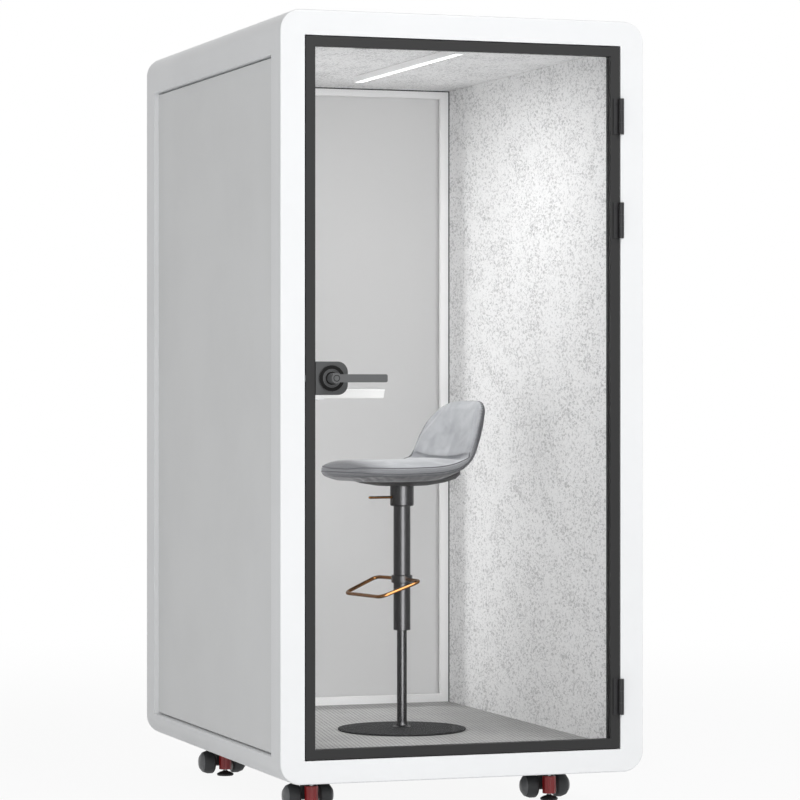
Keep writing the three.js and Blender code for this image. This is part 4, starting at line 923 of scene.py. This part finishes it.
@dataclass
class RearWindow:
    """The rear pane, its frame, and a dark strip round the frame, drawn as a rubber gasket, that
    stands for the shade in the corner against the felt: painted shade.
    """

    edge: float = 0.0012
    shadow_strip_width: float = 0.0035
    shadow_strip_proud: float = 0.0022
    shadow_strip_gap: float = 0.0001
    shadow_strip_edge: float = 0.0006

    def shadow_strip(self) -> bpy.types.Object:
        """Build the thin dark strip in the corner between the felt and the window frame, painted
        shade for that corner.
        """
        inner = -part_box("left_felt")[1].x
        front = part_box("rear_window_frame")[0].y
        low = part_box("carpet")[1].z
        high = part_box("ceiling_felt")[0].z
        form = bmesh.new()
        rims = []
        for inset in (0.0, self.shadow_strip_width):
            for y in (front - self.shadow_strip_proud, front - self.shadow_strip_gap):
                corners = [(-inner + inset, low), (-inner + inset, high - inset),
                           (inner - inset, high - inset), (inner - inset, low)]
                rims.append([form.verts.new((x, y, z)) for x, z in corners])
        for first, second in ((0, 1), (1, 3), (3, 2), (2, 0)):
            for i in range(3):
                near, far = rims[first], rims[second]
                form.faces.new((near[i], near[i + 1], far[i + 1], far[i]))
        for end in (0, 3):
            form.faces.new((rims[0][end], rims[1][end], rims[3][end], rims[2][end]))
        bmesh.ops.recalc_face_normals(form, faces=form.faces)
        mesh = shaped(form, "rear_window_shadow_strip")
        # The dark rubber finish here is painted shade in the corner
        mesh.materials.append(RUBBER.material())
        piece = stand("rear_window_shadow_strip", mesh)
        soften(piece, self.shadow_strip_edge)
        return mount(piece, "pod")

    def build(self) -> None:
        """Finish the window."""
        # The frame and bead take the brightened white as painted light
        dressed("rear_window_frame", LIT_WINDOW_WHITE, self.edge)
        coat_node("rear_glass", REAR_GLASS)
        coat_node("rear_glass_bead", LIT_WINDOW_WHITE)
        self.shadow_strip()


@dataclass
class Door:
    """The framed glass door, its seal, hinges and handle set."""

    frame_edge: float = 0.0011
    hinge_edge: float = 0.0006
    plate_edge: float = 0.0012
    lever_edge: float = 0.0016
    bolt_edge: float = 0.0005
    screw_radius: float = 0.0034
    screw_height: float = 0.0016
    screw_spread: float = 0.034
    screw_inset: float = 0.0075
    screw_face: float = -0.7123
    hinges: tuple[str, ...] = ("upper", "middle", "lower")

    def hinge_screws(self, heads: Recipe) -> None:
        """Set two screws in each door leaf."""
        spots = []
        for hinge in self.hinges:
            leaf = hinge + "_hinge_door_leaf"
            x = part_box(leaf)[0].x + self.screw_inset
            for step in (-1, 1):
                z = middle_of(leaf).z + step * self.screw_spread
                spots.append(((x, self.screw_face, z), (0.0, -1.0, 0.0)))
        piece = heads.grow("hinge_screws", spot_mesh(spots), BLACK,
                           {"Radius": self.screw_radius, "Height": self.screw_height})
        mount(piece, "door")

    def build(self, heads: Recipe) -> None:
        """Finish the door.

        Args:
            heads: The screw recipe.
        """
        low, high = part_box("door_frame")
        black = MitredCoating("door_anodised_black", tone(17, 17, 18), 0.48, grain=Grain.ALONG_Z,
                              grain_size=0.0009, rubbed=tone(66, 66, 68), half_width=high.x,
                              middle=(low.z + high.z) / 2, half_height=(high.z - low.z) / 2)
        dressed("door_frame", black, self.frame_edge)
        coat_node("door_glass", GLASS)
        coat_node("door_bead", RUBBER)
        coat_node("door_seal", RUBBER)
        for hinge in self.hinges:
            dressed(hinge + "_hinge_frame_leaf", BLACK, self.hinge_edge)
            dressed(hinge + "_hinge_door_leaf", BLACK, self.hinge_edge)
        self.hinge_screws(heads)
        for plate in ("handle_outer_plate", "handle_inner_plate"):
            dressed(plate, GRAPHITE, self.plate_edge, 3)
        for lever in ("handle_outer_lever", "handle_inner_lever"):
            dressed(lever, GRAPHITE_LEVER, self.lever_edge, 3)
        dressed("latch_bolt", STEEL, self.bolt_edge)
        coat_node("strike_plate", STEEL)


@dataclass
class Desk:
    """The wall desk on its two brackets."""

    edge: float = 0.002
    bracket_edge: float = 0.0008
    screw_radius: float = 0.004
    screw_height: float = 0.0018
    screw_side: float = 0.012
    screw_seat: float = 0.0047
    wall_screw_rise: float = 0.02
    board_screw_inset: float = 0.022
    brackets: tuple[str, ...] = ("desk_front_bracket", "desk_rear_bracket")

    def bracket_screws(self, heads: Recipe) -> None:
        """Set four screws in each bracket: two into the wall and two into the board."""
        spots = []
        for bracket in self.brackets:
            low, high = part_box(bracket)
            for side in (-self.screw_side, self.screw_side):
                y = middle_of(bracket).y + side
                wall = (low.x + self.screw_seat, y, low.z + self.wall_screw_rise)
                board = (high.x - self.board_screw_inset, y, high.z - self.screw_seat)
                spots += [(wall, (1.0, 0.0, 0.0)), (board, (0.0, 0.0, -1.0))]
        piece = heads.grow("bracket_screws", spot_mesh(spots), STEEL,
                           {"Radius": self.screw_radius, "Height": self.screw_height})
        mount(piece, "pod")

    def build(self, heads: Recipe) -> None:
        """Finish the desk.

        Args:
            heads: The screw recipe.
        """
        dressed("desk_top", LAMINATE, self.edge, 3)
        for bracket in self.brackets:
            dressed(bracket, WHITE, self.bracket_edge)
        self.bracket_screws(heads)


@dataclass
class Stool:
    """The bar stool: base, lift, padded seat, footrest and height lever."""

    place: Point = (0.019, -0.102, 0.1876)
    heading: float = math.radians(-170.1)
    stations: tuple[tuple[float, ...], ...] = (
        (0.2185, 0.781, 0.058, 0.034, 0.003, 0.000),
        (0.217, 0.781, 0.088, 0.040, 0.006, 0.000),
        (0.214, 0.781, 0.114, 0.044, 0.009, 0.000),
        (0.2075, 0.781, 0.136, 0.046, 0.012, 0.000),
        (0.194, 0.780, 0.157, 0.047, 0.015, 0.000),
        (0.164, 0.779, 0.177, 0.047, 0.017, 0.000),
        (0.111, 0.778, 0.191, 0.047, 0.017, 0.000),
        (0.040, 0.778, 0.199, 0.047, 0.016, 0.001),
        (-0.036, 0.779, 0.200, 0.046, 0.016, 0.004),
        (-0.098, 0.785, 0.197, 0.044, 0.013, 0.012),
        (-0.140, 0.799, 0.192, 0.040, 0.008, 0.022),
        (-0.170, 0.827, 0.187, 0.037, 0.006, 0.029),
        (-0.191, 0.866, 0.182, 0.036, 0.006, 0.032),
        (-0.207, 0.905, 0.173, 0.035, 0.006, 0.031),
        (-0.219, 0.938, 0.156, 0.033, 0.005, 0.026),
        (-0.229, 0.966, 0.132, 0.030, 0.004, 0.018),
        (-0.236, 0.986, 0.096, 0.025, 0.003, 0.010),
        (-0.239, 0.994, 0.057, 0.018, 0.002, 0.004),
    )
    crease_station: int = 10
    crease_depth: float = 0.016
    crease_reach: float = 0.009
    seams: tuple[float, float] = (0.74, -0.04)
    groove_depth: float = 0.003
    groove_reach: float = 0.0036
    squareness: float = 0.44
    around: int = 96
    between: int = 3
    voxel: float = 0.005
    shrink: float = 0.003
    swell: float = 0.006
    pressure: float = 4.0
    frames: int = 20
    seam_reach: float = 0.008
    line_step: float = 0.002
    hold_step: float = 0.004
    # These six numbers set the painted shade on the pad: darker over the nose, the side band, the
    # underside and the back's sides
    nose_start: float = 0.12
    nose_reach: float = 0.09
    nose_painted_shade: float = 1.3
    side_blend: float = 0.2
    under_blend: float = 0.5
    back_blend: float = 3.0
    cord_radius: float = 0.0013
    cord_proud: float = 0.0007
    cord_step: float = 0.005
    cord_overrun: int = 2
    stitch_pitch: float = 0.0062
    stitch_length: float = 0.0042
    stitch_thickness: float = 0.0011
    stitch_proud: float = 0.0002
    rod_radius: float = 0.0055
    rod_step: float = 0.004
    rod_bend: float = 0.024
    bend_steps: int = 12
    rest_level: tuple[float, float] = (0.411, 0.456)
    rest_front: tuple[float, float] = (0.134, 0.113)
    rest_rear: tuple[float, float] = (0.013, 0.137)
    post_reach: float = 0.035
    clamp_reach: float = 0.028
    clamp_inner: float = 0.0261
    clamp_outer: float = 0.032
    clamp_height: float = 0.024
    clamp_lip: float = 0.002
    base_edge: float = 0.0012
    rod_edge: float = 0.0008
    sleeve_edge: float = 0.0012
    pan_edge: float = 0.001
    lever_edge: float = 0.0008

    def __post_init__(self) -> None:
        """Ease the pad's stations into a denser row."""
        stations = [Vector(station) for station in self.stations]
        self.rows = [tuple(row) for row in self.eased(stations, self.between, False)]

    def frame_matrix(self) -> Matrix:
        """Give the turn and place of the stool, whose sitter faces its own +X."""
        return Matrix.Translation(self.place) @ Matrix.Rotation(self.heading, 4, "Z")

    def spot(self, row: int, share: float, lift: float) -> Vector:
        """Give a point of the pad.

        Args:
            row: The station.
            share: How far out it lies, from -1 on one side to 1 on the other.
            lift: How high in the thickness, from -1 underneath to 1 on top.

        Returns:
            The point in the row frame.
        """
        rows = self.rows
        forward, height, half, thick, crown, curl = rows[row]
        before = rows[max(row - 1, 0)]
        after = rows[min(row + 1, len(rows) - 1)]
        along = Vector((after[0] - before[0], 0.0, after[1] - before[1])).normalized()
        facing = Vector((along.z, 0.0, -along.x))
        swell = crown * (1 - share * share) * max(lift, 0.0)
        offset = lift * thick / 2 + swell + curl * share * share
        return self.frame_matrix() @ (Vector((forward, share * half, height)) + facing * offset)

    def seam(self, lift: float, last: Optional[int] = None, depth: float = 0.0) -> list[Vector]:
        """Trace a seam round the side band.

        Args:
            lift: Its height in the thickness.
            last: The row where it ends on both sides; without it the seam closes over the back.
            depth: How far it lies under the pad's surface.

        Returns:
            Points of the seam in the row frame, from one end to the other round the nose.
        """
        rows = range(len(self.rows) if last is None else last + 1)
        out = (1 - abs(lift) ** (2 / self.squareness)) ** (self.squareness / 2)
        sides = []
        for i in rows:
            half, thick = self.rows[i][2:4]
            sides.append((i, out - depth / half, lift * (1 - 2 * depth / thick)))
        return ([self.spot(i, share, level) for i, share, level in reversed(sides)]
                + [self.spot(i, -share, level) for i, share, level in sides])

    def crease(self) -> list[Vector]:
        """Trace the sewn line across the seat where it meets the back."""
        steps = 32
        row = self.crease_station * self.between
        return [self.spot(row, 2 * i / steps - 1, 1.0) for i in range(steps + 1)]

    def shade(self, row: int, lift: float) -> float:
        """Give the painted shade of the pad, from 0 on the lit top over 1 on the side band to 2
        underneath.

        Args:
            row: The station.
            lift: The height in the thickness, from -1 underneath to 1 on top.

        Returns:
            The share of the darker tones.
        """
        # Painted shade: darker over the nose, down the side band, underneath and on the back's
        # sides, where less light falls
        upper, lower = self.seams
        side = unit((upper - lift) / self.side_blend + 0.5)
        nose = self.nose_painted_shade * unit((self.rows[row][0] - self.nose_start) / self.nose_reach)
        back = unit((row / self.between - self.crease_station) / self.back_blend)
        under = unit((lower - lift) / self.under_blend)
        return max(side * (1 + under * (1 - back) + (1 - lift ** 4) * back), nose)

    def blank(self) -> tuple[bpy.types.Mesh, kdtree.KDTree, list[float]]:
        """Loft the slack pad through its stations.

        Returns:
            The closed mesh, its points by place, and each point's painted shade.
        """
        form = bmesh.new()
        marks: list[tuple[Vector, float]] = []
        rings = []
        for row in range(len(self.rows)):
            ring = []
            for i in range(self.around):
                angle = 2 * math.pi * i / self.around
                share, lift = (math.copysign(abs(part) ** self.squareness, part)
                               for part in (math.cos(angle), math.sin(angle)))
                ring.append(form.verts.new(self.spot(row, share, lift)))
                marks.append((ring[-1].co.copy(), self.shade(row, lift)))
            rings.append(ring)
        for first, second in zip(rings, rings[1:]):
            skin(form, first, second)
        form.faces.new(rings[0])
        form.faces.new(rings[-1])
        bmesh.ops.recalc_face_normals(form, faces=form.faces)
        form.normal_update()
        steps = [i / 10 for i in range(-9, 10)]
        for lift in steps:
            marks += [(self.spot(0, share, lift), self.shade(0, lift)) for share in steps]
        finder = kdtree.KDTree(len(marks))
        for i, (place, _) in enumerate(marks):
            finder.insert(place, i)
        finder.balance()
        for vert in form.verts:
            vert.co -= vert.normal * self.shrink
        return shaped(form, "seat_cushion"), finder, [shade for _, shade in marks]

    def cushion(self) -> bpy.types.Object:
        """Swell the seat pad by a pressure simulation and draw in its seams.

        Returns:
            The padded piece.
        """
        mesh, finder, shades = self.blank()
        pad = stand("seat_cushion", mesh)
        remesh = pad.modifiers.new("even_cloth", "REMESH")
        remesh.mode = "VOXEL"
        remesh.voxel_size = self.voxel
        smooth = pad.modifiers.new("settle", "SMOOTH")
        smooth.factor = 0.5
        smooth.iterations = 2
        self.bake(pad)
        self.inflate(pad)
        finer = pad.modifiers.new("finer", "SUBSURF")
        finer.levels = 1
        finer.render_levels = 1
        self.bake(pad)
        self.draw_in(pad)
        # Painted shade: the band attribute darkens the pad along the crease and carries the painted
        # shade from shade() to the velvet
        crease_shade_line = PointFinder(self.crease(), self.line_step)
        band = pad.data.attributes.new("band", "FLOAT", "POINT")
        for vert in pad.data.vertices:
            fold = math.exp(-crease_shade_line.gap(vert.co) / self.crease_reach)
            band.data[vert.index].value = max(fold, shades[finder.find(vert.co)[1]])
        pad.data.materials.clear()
        pad.data.materials.append(VELVET.material())
        for face in pad.data.polygons:
            face.use_smooth = True
        mount(pad, "stool_seat")
        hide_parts("stool_cushion")
        return pad

    def draw_in(self, pad: bpy.types.Object) -> None:
        """Pull the swollen pad in along its seams and its crease.

        Args:
            pad: The swollen pad.
        """
        lines = [self.eased(self.seam(lift), self.between, True) for lift in self.seams]
        seams = PointFinder(lines[0] + lines[1], self.line_step)
        crease = PointFinder(self.crease(), self.line_step)
        moves = []
        for vert in pad.data.vertices:
            groove = self.groove_depth * math.exp(-((seams.gap(vert.co) / self.groove_reach) ** 2))
            fold = self.crease_depth * math.exp(-crease.gap(vert.co) / self.crease_reach)
            moves.append(vert.normal * (groove + fold))
        for vert, move in zip(pad.data.vertices, moves):
            vert.co -= move

    @staticmethod
    def bake(piece: bpy.types.Object) -> None:
        """Turn a piece and its modifiers into a plain mesh."""
        graph = bpy.context.evaluated_depsgraph_get()
        done = bpy.data.meshes.new_from_object(piece.evaluated_get(graph), depsgraph=graph)
        old = piece.data
        piece.modifiers.clear()
        piece.data = done
        done.name = old.name
        bpy.data.meshes.remove(old)

    def inflate(self, pad: bpy.types.Object) -> None:
        """Let air pressure fill the pad while its seams hold.

        Args:
            pad: The remeshed pad.
        """
        held = pad.vertex_groups.new(name="sewn")
        lines = self.crease() + [p for lift in self.seams for p in self.seam(lift)]
        finder = PointFinder(lines, self.hold_step)
        for vert in pad.data.vertices:
            gap = finder.gap(vert.co)
            if gap < self.seam_reach:
                held.add([vert.index], 1 - gap / self.seam_reach, "REPLACE")
        rest = [vert.co.copy() for vert in pad.data.vertices]
        cloth = pad.modifiers.new("stuffing", "CLOTH")
        settings = cloth.settings
        settings.quality = 5
        settings.mass = 0.25
        settings.tension_stiffness = 12
        settings.compression_stiffness = 12
        settings.bending_stiffness = 0.4
        settings.use_pressure = True
        settings.uniform_pressure_force = self.pressure
        settings.effector_weights.gravity = 0
        settings.vertex_group_mass = "sewn"
        settings.pin_stiffness = 1.0
        cloth.point_cache.frame_start = 1
        cloth.point_cache.frame_end = self.frames
        for step in range(1, self.frames + 1):
            bpy.context.scene.frame_set(step)
        self.bake(pad)
        bpy.context.scene.frame_set(1)
        for vert, before in zip(pad.data.vertices, rest):
            moved = vert.co - before
            if moved.length > self.swell:
                vert.co = before + moved.normalized() * self.swell

    def on_pad(self, pad: bpy.types.Object, points: Iterable[Vector], proud: float) -> list[Point]:
        """Lay points on the pad's surface.

        Args:
            pad: The finished pad.
            points: Points near its surface.
            proud: How far the line stands out.

        Returns:
            The points on the surface.
        """
        laid = []
        for point in points:
            _, spot, normal, _ = pad.closest_point_on_mesh(point)
            laid.append(tuple(spot + normal * proud))
        return laid

    @staticmethod
    def eased(points: Sequence[Vector], steps: int, closed: bool) -> list[Vector]:
        """Run a smooth line through points.

        Args:
            points: Points that the line passes.
            steps: New points between each pair.
            closed: Whether the line meets its start again.

        Returns:
            The denser line.
        """
        count = len(points)
        line = []
        for i in range(count if closed else count - 1):
            around = [points[(i + k) % count] if closed else points[min(max(i + k, 0), count - 1)]
                      for k in (-1, 0, 1, 2)]
            a, b, c, d = around
            for k in range(steps):
                t = k / steps
                line.append(0.5 * ((2 * b) + (c - a) * t + (2 * a - 5 * b + 4 * c - d) * t * t
                                   + (3 * b - a - 3 * c + d) * t ** 3))
        if not closed:
            line.append(points[-1])
        return line

    def trim(self, pad: bpy.types.Object, bars: Recipe, stitches: Recipe) -> None:
        """Sew a thin dark cord into each seam, painted shade for the seam grooves, and a row of
        stitches under the upper one.

        Args:
            pad: The finished pad.
            bars: The round bar recipe.
            stitches: The stitch recipe.
        """
        ends = (self.crease_station * self.between + self.cord_overrun, None)
        for name, lift, last in zip(("upper_seam_cord", "lower_seam_cord"), self.seams, ends):
            closed = last is None
            sunk = self.eased(self.seam(lift, last, self.groove_depth), self.between, closed)
            line = self.on_pad(pad, sunk, self.cord_proud)
            piece = bars.grow(name, path_mesh(line, closed), SEAM_SHADOW_CORD,
                              {"Radius": self.cord_radius, "Step": self.cord_step, "Sides": 8})
            mount(piece, "stool_seat")
        between = self.eased(self.seam(sum(self.seams) / 2), self.between, True)
        row = self.on_pad(pad, between, self.stitch_proud)
        piece = stitches.grow("seat_stitches", path_mesh(row, True), THREAD,
                              {"Pitch": self.stitch_pitch, "Length": self.stitch_length,
                               "Thickness": self.stitch_thickness})
        mount(piece, "stool_seat")

    def footrest(self, bars: Recipe) -> None:
        """Bend the footrest rod round and close it in its clamp.

        Args:
            bars: The round bar recipe.
        """
        matrix = self.frame_matrix()
        low, high = self.rest_level
        left = [Vector((0.0, self.clamp_reach, high)), Vector((*self.rest_rear, high)),
                Vector((*self.rest_front, low))]
        corners = left + [Vector((p.x, -p.y, p.z)) for p in reversed(left)]
        line = [corners[0]]
        for before, corner, after in zip(corners, corners[1:], corners[2:]):
            start = corner + (before - corner).normalized() * self.rod_bend
            end = corner + (after - corner).normalized() * self.rod_bend
            for i in range(self.bend_steps + 1):
                t = i / self.bend_steps
                line.append(start * (1 - t) ** 2 + corner * 2 * t * (1 - t) + end * t * t)
        line.append(corners[-1])
        rod = bars.grow("footrest_rod", path_mesh([matrix @ p for p in line], False), BRONZE,
                        {"Radius": self.rod_radius, "Step": self.rod_step, "Sides": 20})
        mount(rod, "stool_seat")
        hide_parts("stool_footrest")
        bottom = high - self.clamp_height / 2
        top = bottom + self.clamp_height
        lip = self.clamp_lip
        profile = [(self.clamp_inner, bottom), (self.clamp_outer - lip, bottom),
                   (self.clamp_outer, bottom + lip), (self.clamp_outer, top - lip),
                   (self.clamp_outer - lip, top), (self.clamp_inner, top)]
        clamp = turned_piece("footrest_clamp", profile, POST_BLACK, matrix)
        mount(clamp, "stool_seat")

    def build(self, bars: Recipe, stitches: Recipe) -> None:
        """Finish the stool.

        Args:
            bars: The round bar recipe.
            stitches: The stitch recipe.
        """

        def pick(spot: Vector) -> int:
            """Choose the disc or the post."""
            return int(math.hypot(spot.x - self.place[0], spot.y - self.place[1]) < self.post_reach)

        dressed("stool_base", [BASE_GREY, POST_BLACK], self.base_edge, 2, pick)
        dressed("stool_gas_rod", ROD_STEEL, self.rod_edge)
        dressed("stool_sleeve", POST_BLACK, self.sleeve_edge)
        dressed("stool_seat_pan", PAN_BLACK, self.pan_edge)
        dressed("stool_lever", BRONZE, self.lever_edge)
        self.footrest(bars)
        self.trim(self.cushion(), bars, stitches)


class PointFinder:
    """Finds how near a line of points comes to a spot."""

    def __init__(self, points: Sequence[Vector], step: float) -> None:
        """Fill in the lines between neighbouring points and index them."""
        dense = []
        for first, second in zip(points, points[1:]):
            reach = (second - first).length
            count = max(1, int(reach / step)) if reach < 0.12 else 1
            dense += [first.lerp(second, i / count) for i in range(count)]
        self.tree = kdtree.KDTree(len(dense))
        for i, point in enumerate(dense):
            self.tree.insert(point, i)
        self.tree.balance()

    def gap(self, spot: Vector) -> float:
        """Give the distance from a spot to the line."""
        return self.tree.find(spot)[2]


def turned_piece(name: str, profile: Sequence[tuple[float, float]], finish: Finish,
                 matrix: Matrix, sides: int = 48) -> bpy.types.Object:
    """Turn a closed profile about Z.

    Args:
        name: The piece's name.
        profile: Radius and height of the profile's corners, in order.
        finish: Its finish.
        matrix: Where the axis stands.
        sides: Faces round the axis.

    Returns:
        The piece.
    """
    form = bmesh.new()
    rings = []
    for radius, height in profile:
        ring = []
        for i in range(sides):
            angle = 2 * math.pi * i / sides
            spot = Vector((radius * math.cos(angle), radius * math.sin(angle), height))
            ring.append(form.verts.new(matrix @ spot))
        rings.append(ring)
    for first, second in zip(rings, rings[1:] + rings[:1]):
        skin(form, first, second)
    bmesh.ops.recalc_face_normals(form, faces=form.faces)
    for face in form.faces:
        face.smooth = True
    mesh = shaped(form, name)
    mesh.materials.append(finish.material())
    mesh.set_sharp_from_angle(angle=SMOOTH_ANGLE)
    return stand(name, mesh)


@dataclass
class Castors:
    """Four levelling castors."""

    places: tuple[str, ...] = ("front_left", "front_right", "rear_left", "rear_right")
    pad_top: float = 0.0165
    wheel_band: tuple[float, float] = (0.0195, 0.0715)
    thread_start: float = 0.0717
    thread_height: float = 0.0056
    thread_turns: float = 3.2
    hub_radius: float = 0.028
    housing_edge: float = 0.0012
    wheel_edge: float = 0.0012
    foot_edge: float = 0.0006
    bolt_circle: float = 0.0315
    bolt_drop: float = 0.0076
    bolt_radius: float = 0.0055
    bolt_height: float = 0.003

    def foot(self, place: str, threads: Recipe) -> None:
        """Finish a levelling foot: rubber pad, threaded stem and red thumbwheel.

        Args:
            place: Which castor.
            threads: The thread recipe.
        """
        node = place + "_levelling_foot"
        x, y, _ = middle_of(node)

        def pick(spot: Vector) -> int:
            """Choose the pad, the thumbwheel or the stem."""
            if spot.z < self.pad_top:
                return 0
            return 1 if self.wheel_band[0] < spot.z < self.wheel_band[1] else 2

        dressed(node, [RUBBER, RED, STEEL], self.foot_edge, 2, pick)
        host = spot_mesh([((x, y, self.thread_start), (0.0, 0.0, 1.0))])
        piece = threads.grow(place + "_stem_thread", host, STEEL,
                             {"Turns": self.thread_turns, "Height": self.thread_height})
        mount(piece, place + "_foot")

    def wheels(self, place: str) -> None:
        """Finish a wheel pair with grey hubs and dark tyres.

        Args:
            place: Which castor.
        """
        node = place + "_castor_wheels"
        _, y, z = middle_of(node)

        def pick(spot: Vector) -> int:
            """Choose the tyre or the hub."""
            return 0 if math.hypot(spot.y - y, spot.z - z) > self.hub_radius else 1

        dressed(node, [TYRE, HUB], self.wheel_edge, 2, pick)

    def build(self, heads: Recipe, threads: Recipe) -> None:
        """Finish the castors.

        Args:
            heads: The screw recipe.
            threads: The thread recipe.
        """
        for place in self.places:
            housing = place + "_castor_housing"
            dressed(housing, CASTOR_GREY, self.housing_edge, 3)
            self.wheels(place)
            self.foot(place, threads)
            x, y, _ = middle_of(place + "_levelling_foot")
            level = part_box(housing)[1].z - self.bolt_drop
            spots = []
            for i in range(4):
                angle = math.pi / 4 + i * math.pi / 2
                spot = (x + self.bolt_circle * math.cos(angle),
                        y + self.bolt_circle * math.sin(angle), level)
                spots.append((spot, (0.0, 0.0, -1.0)))
            bolts = heads.grow(place + "_plate_bolts", spot_mesh(spots), STEEL,
                               {"Radius": self.bolt_radius, "Height": self.bolt_height})
            mount(bolts, place + "_castor")


@dataclass(frozen=True)
class Lamp:
    """One soft rectangular lamp, aimed at a spot.

    A lamp without matt light shows only in glossy surfaces, and one without gleam never does.
    """

    name: str
    place: Point
    aim: Point
    size: tuple[float, float]
    power: float
    matt: bool = True
    gleam: bool = True

    def hang(self) -> None:
        """Put the lamp in the scene; one that points down keeps its sides along X and Y."""
        data = bpy.data.lights.new(self.name, "AREA")
        data.shape = "RECTANGLE"
        data.size, data.size_y = self.size
        data.energy = self.power
        lamp = bpy.data.objects.new(self.name, data)
        lamp.location = self.place
        way = Vector(self.aim) - Vector(self.place)
        if way.xy.length > 0:
            lamp.rotation_euler = way.to_track_quat("-Z", "Y").to_euler()
        lamp.visible_camera = False
        lamp.visible_diffuse = self.matt
        lamp.visible_glossy = self.gleam
        lamp.visible_transmission = False
        bpy.context.scene.collection.objects.link(lamp)


@dataclass
class Studio:
    """Camera, lamps, backdrop and floor."""

    eye: Point = (-3.2014, -9.3941, 1.2198)
    turn: float = -0.33308
    lens: float = 146.503
    rise: float = -0.015
    backdrop: Colour = (1.0, 1.0, 1.0, 1.0)
    ambient: float = 0.44
    floor_reach: float = 60.0
    floor_glow: float = 0.92
    floor_fade: tuple[float, float] = (1.6, 6.5)
    floor_colour: Colour = tone(226, 227, 228)
    floor_dust: Colour = tone(214, 215, 216)
    lamps: tuple[Lamp, ...] = (
        Lamp("key", (3.0, -9.5, 8.5), (0.0, -0.7, 1.0), (4.0, 3.0), 505.0),
        Lamp("front_strip", (-1.78, -5.3, 1.2), (0.019, -0.1, 0.9), (0.4, 2.5), 60.0),
        Lamp("cabin_ceiling", (-0.12, -0.2, 2.165), (-0.12, -0.2, 0.0), (0.2, 0.8), 6.4,
             gleam=False),
        Lamp("cabin_side", (-0.43, -0.05, 0.72), (0.46, -0.05, 0.72), (1.0, 0.85), 2.8,
             gleam=False),
        Lamp("cabin_rear", (0.0, 0.56, 1.1), (0.0, -0.6, 1.1), (0.8, 1.8), 3.6, gleam=False),
        Lamp("post_gleam", (-0.02, -0.61, 0.9), (0.019, -0.102, 0.9), (0.28, 1.6), 9.0, matt=False),
    )

    def camera(self) -> None:
        """Set the camera where the photograph was taken from."""
        data = bpy.data.cameras.new("camera")
        data.lens = self.lens
        data.sensor_width = 36.0
        data.shift_y = self.rise
        data.clip_end = 300.0
        data.dof.use_dof = False
        eye = bpy.data.objects.new("camera", data)
        eye.location = self.eye
        eye.rotation_euler = (math.pi / 2, 0.0, self.turn)
        bpy.context.scene.collection.objects.link(eye)
        bpy.context.scene.camera = eye

    def world(self) -> None:
        """Light the room evenly and show a pale backdrop."""
        world = bpy.data.worlds.new("room")
        bpy.context.scene.world = world
        world.use_nodes = True
        nodes, links = world.node_tree.nodes, world.node_tree.links
        back = nodes["Background"]
        seen = nodes.new("ShaderNodeBackground")
        seen.inputs[0].default_value = self.backdrop
        back.inputs[0].default_value = (1.0, 1.0, 1.0, 1.0)
        back.inputs[1].default_value = self.ambient
        path = nodes.new("ShaderNodeLightPath")
        share = path.outputs["Is Camera Ray"]
        for kind in ("Is Glossy Ray", "Is Transmission Ray"):
            larger = nodes.new("ShaderNodeMath")
            larger.operation = "MAXIMUM"
            links.new(share, larger.inputs[0])
            links.new(path.outputs[kind], larger.inputs[1])
            share = larger.outputs[0]
        mix = nodes.new("ShaderNodeMixShader")
        for i, socket in enumerate((share, back.outputs[0], seen.outputs[0])):
            links.new(socket, mix.inputs[i])
        links.new(mix.outputs[0], nodes["World Output"].inputs[0])

    def floor(self) -> None:
        """Lay a pale floor that fades into the backdrop far from the pod."""
        paint = Paint("studio_floor")
        x, y, _ = paint.axes(paint.place())
        away = (x ** 2.0 + y ** 2.0) ** 0.5
        dust = paint.noise(paint.place(), 3.0, 3.0)
        colour = paint.blend(dust * 0.1, self.floor_colour, self.floor_dust)
        paint.surface({"Base Color": colour, "Roughness": 0.7, "Specular IOR Level": 0.2})
        glow = paint.node("Emission", {}, {0: self.backdrop, 1: 1.0})
        fade = away.ramp(*self.floor_fade) * (1 - self.floor_glow) + self.floor_glow
        seen = paint.rays("Is Camera Ray", "Is Glossy Ray", "Is Transmission Ray")
        paint.cover(fade * seen, glow)
        mesh = bpy.data.meshes.new("studio_floor")
        reach = self.floor_reach
        corners = [(-reach, -reach, 0), (reach, -reach, 0), (reach, reach, 0), (-reach, reach, 0)]
        mesh.from_pydata(corners, [], [(0, 1, 2, 3)])
        mesh.materials.append(paint.material)
        stand("studio_floor", mesh)

    def build(self) -> None:
        """Set the stage."""
        bpy.context.scene.view_settings.view_transform = "Standard"
        self.camera()
        self.world()
        self.floor()
        for lamp in self.lamps:
            lamp.hang()


def main() -> None:
    """Build the pod's looks in order."""
    logging.basicConfig(level=logging.INFO, format="%(message)s")
    heads, bars = screw_recipe(), round_bar_recipe()
    stitches, threads = stitch_recipe(), thread_recipe()
    Studio().build()
    Shell().build()
    Lining().build()
    CeilingFittings().build()
    RearWindow().build()
    Door().build(heads)
    Desk().build(heads)
    Stool().build(bars, stitches)
    Castors().build(heads, threads)


if __name__ == "__main__":
    main()
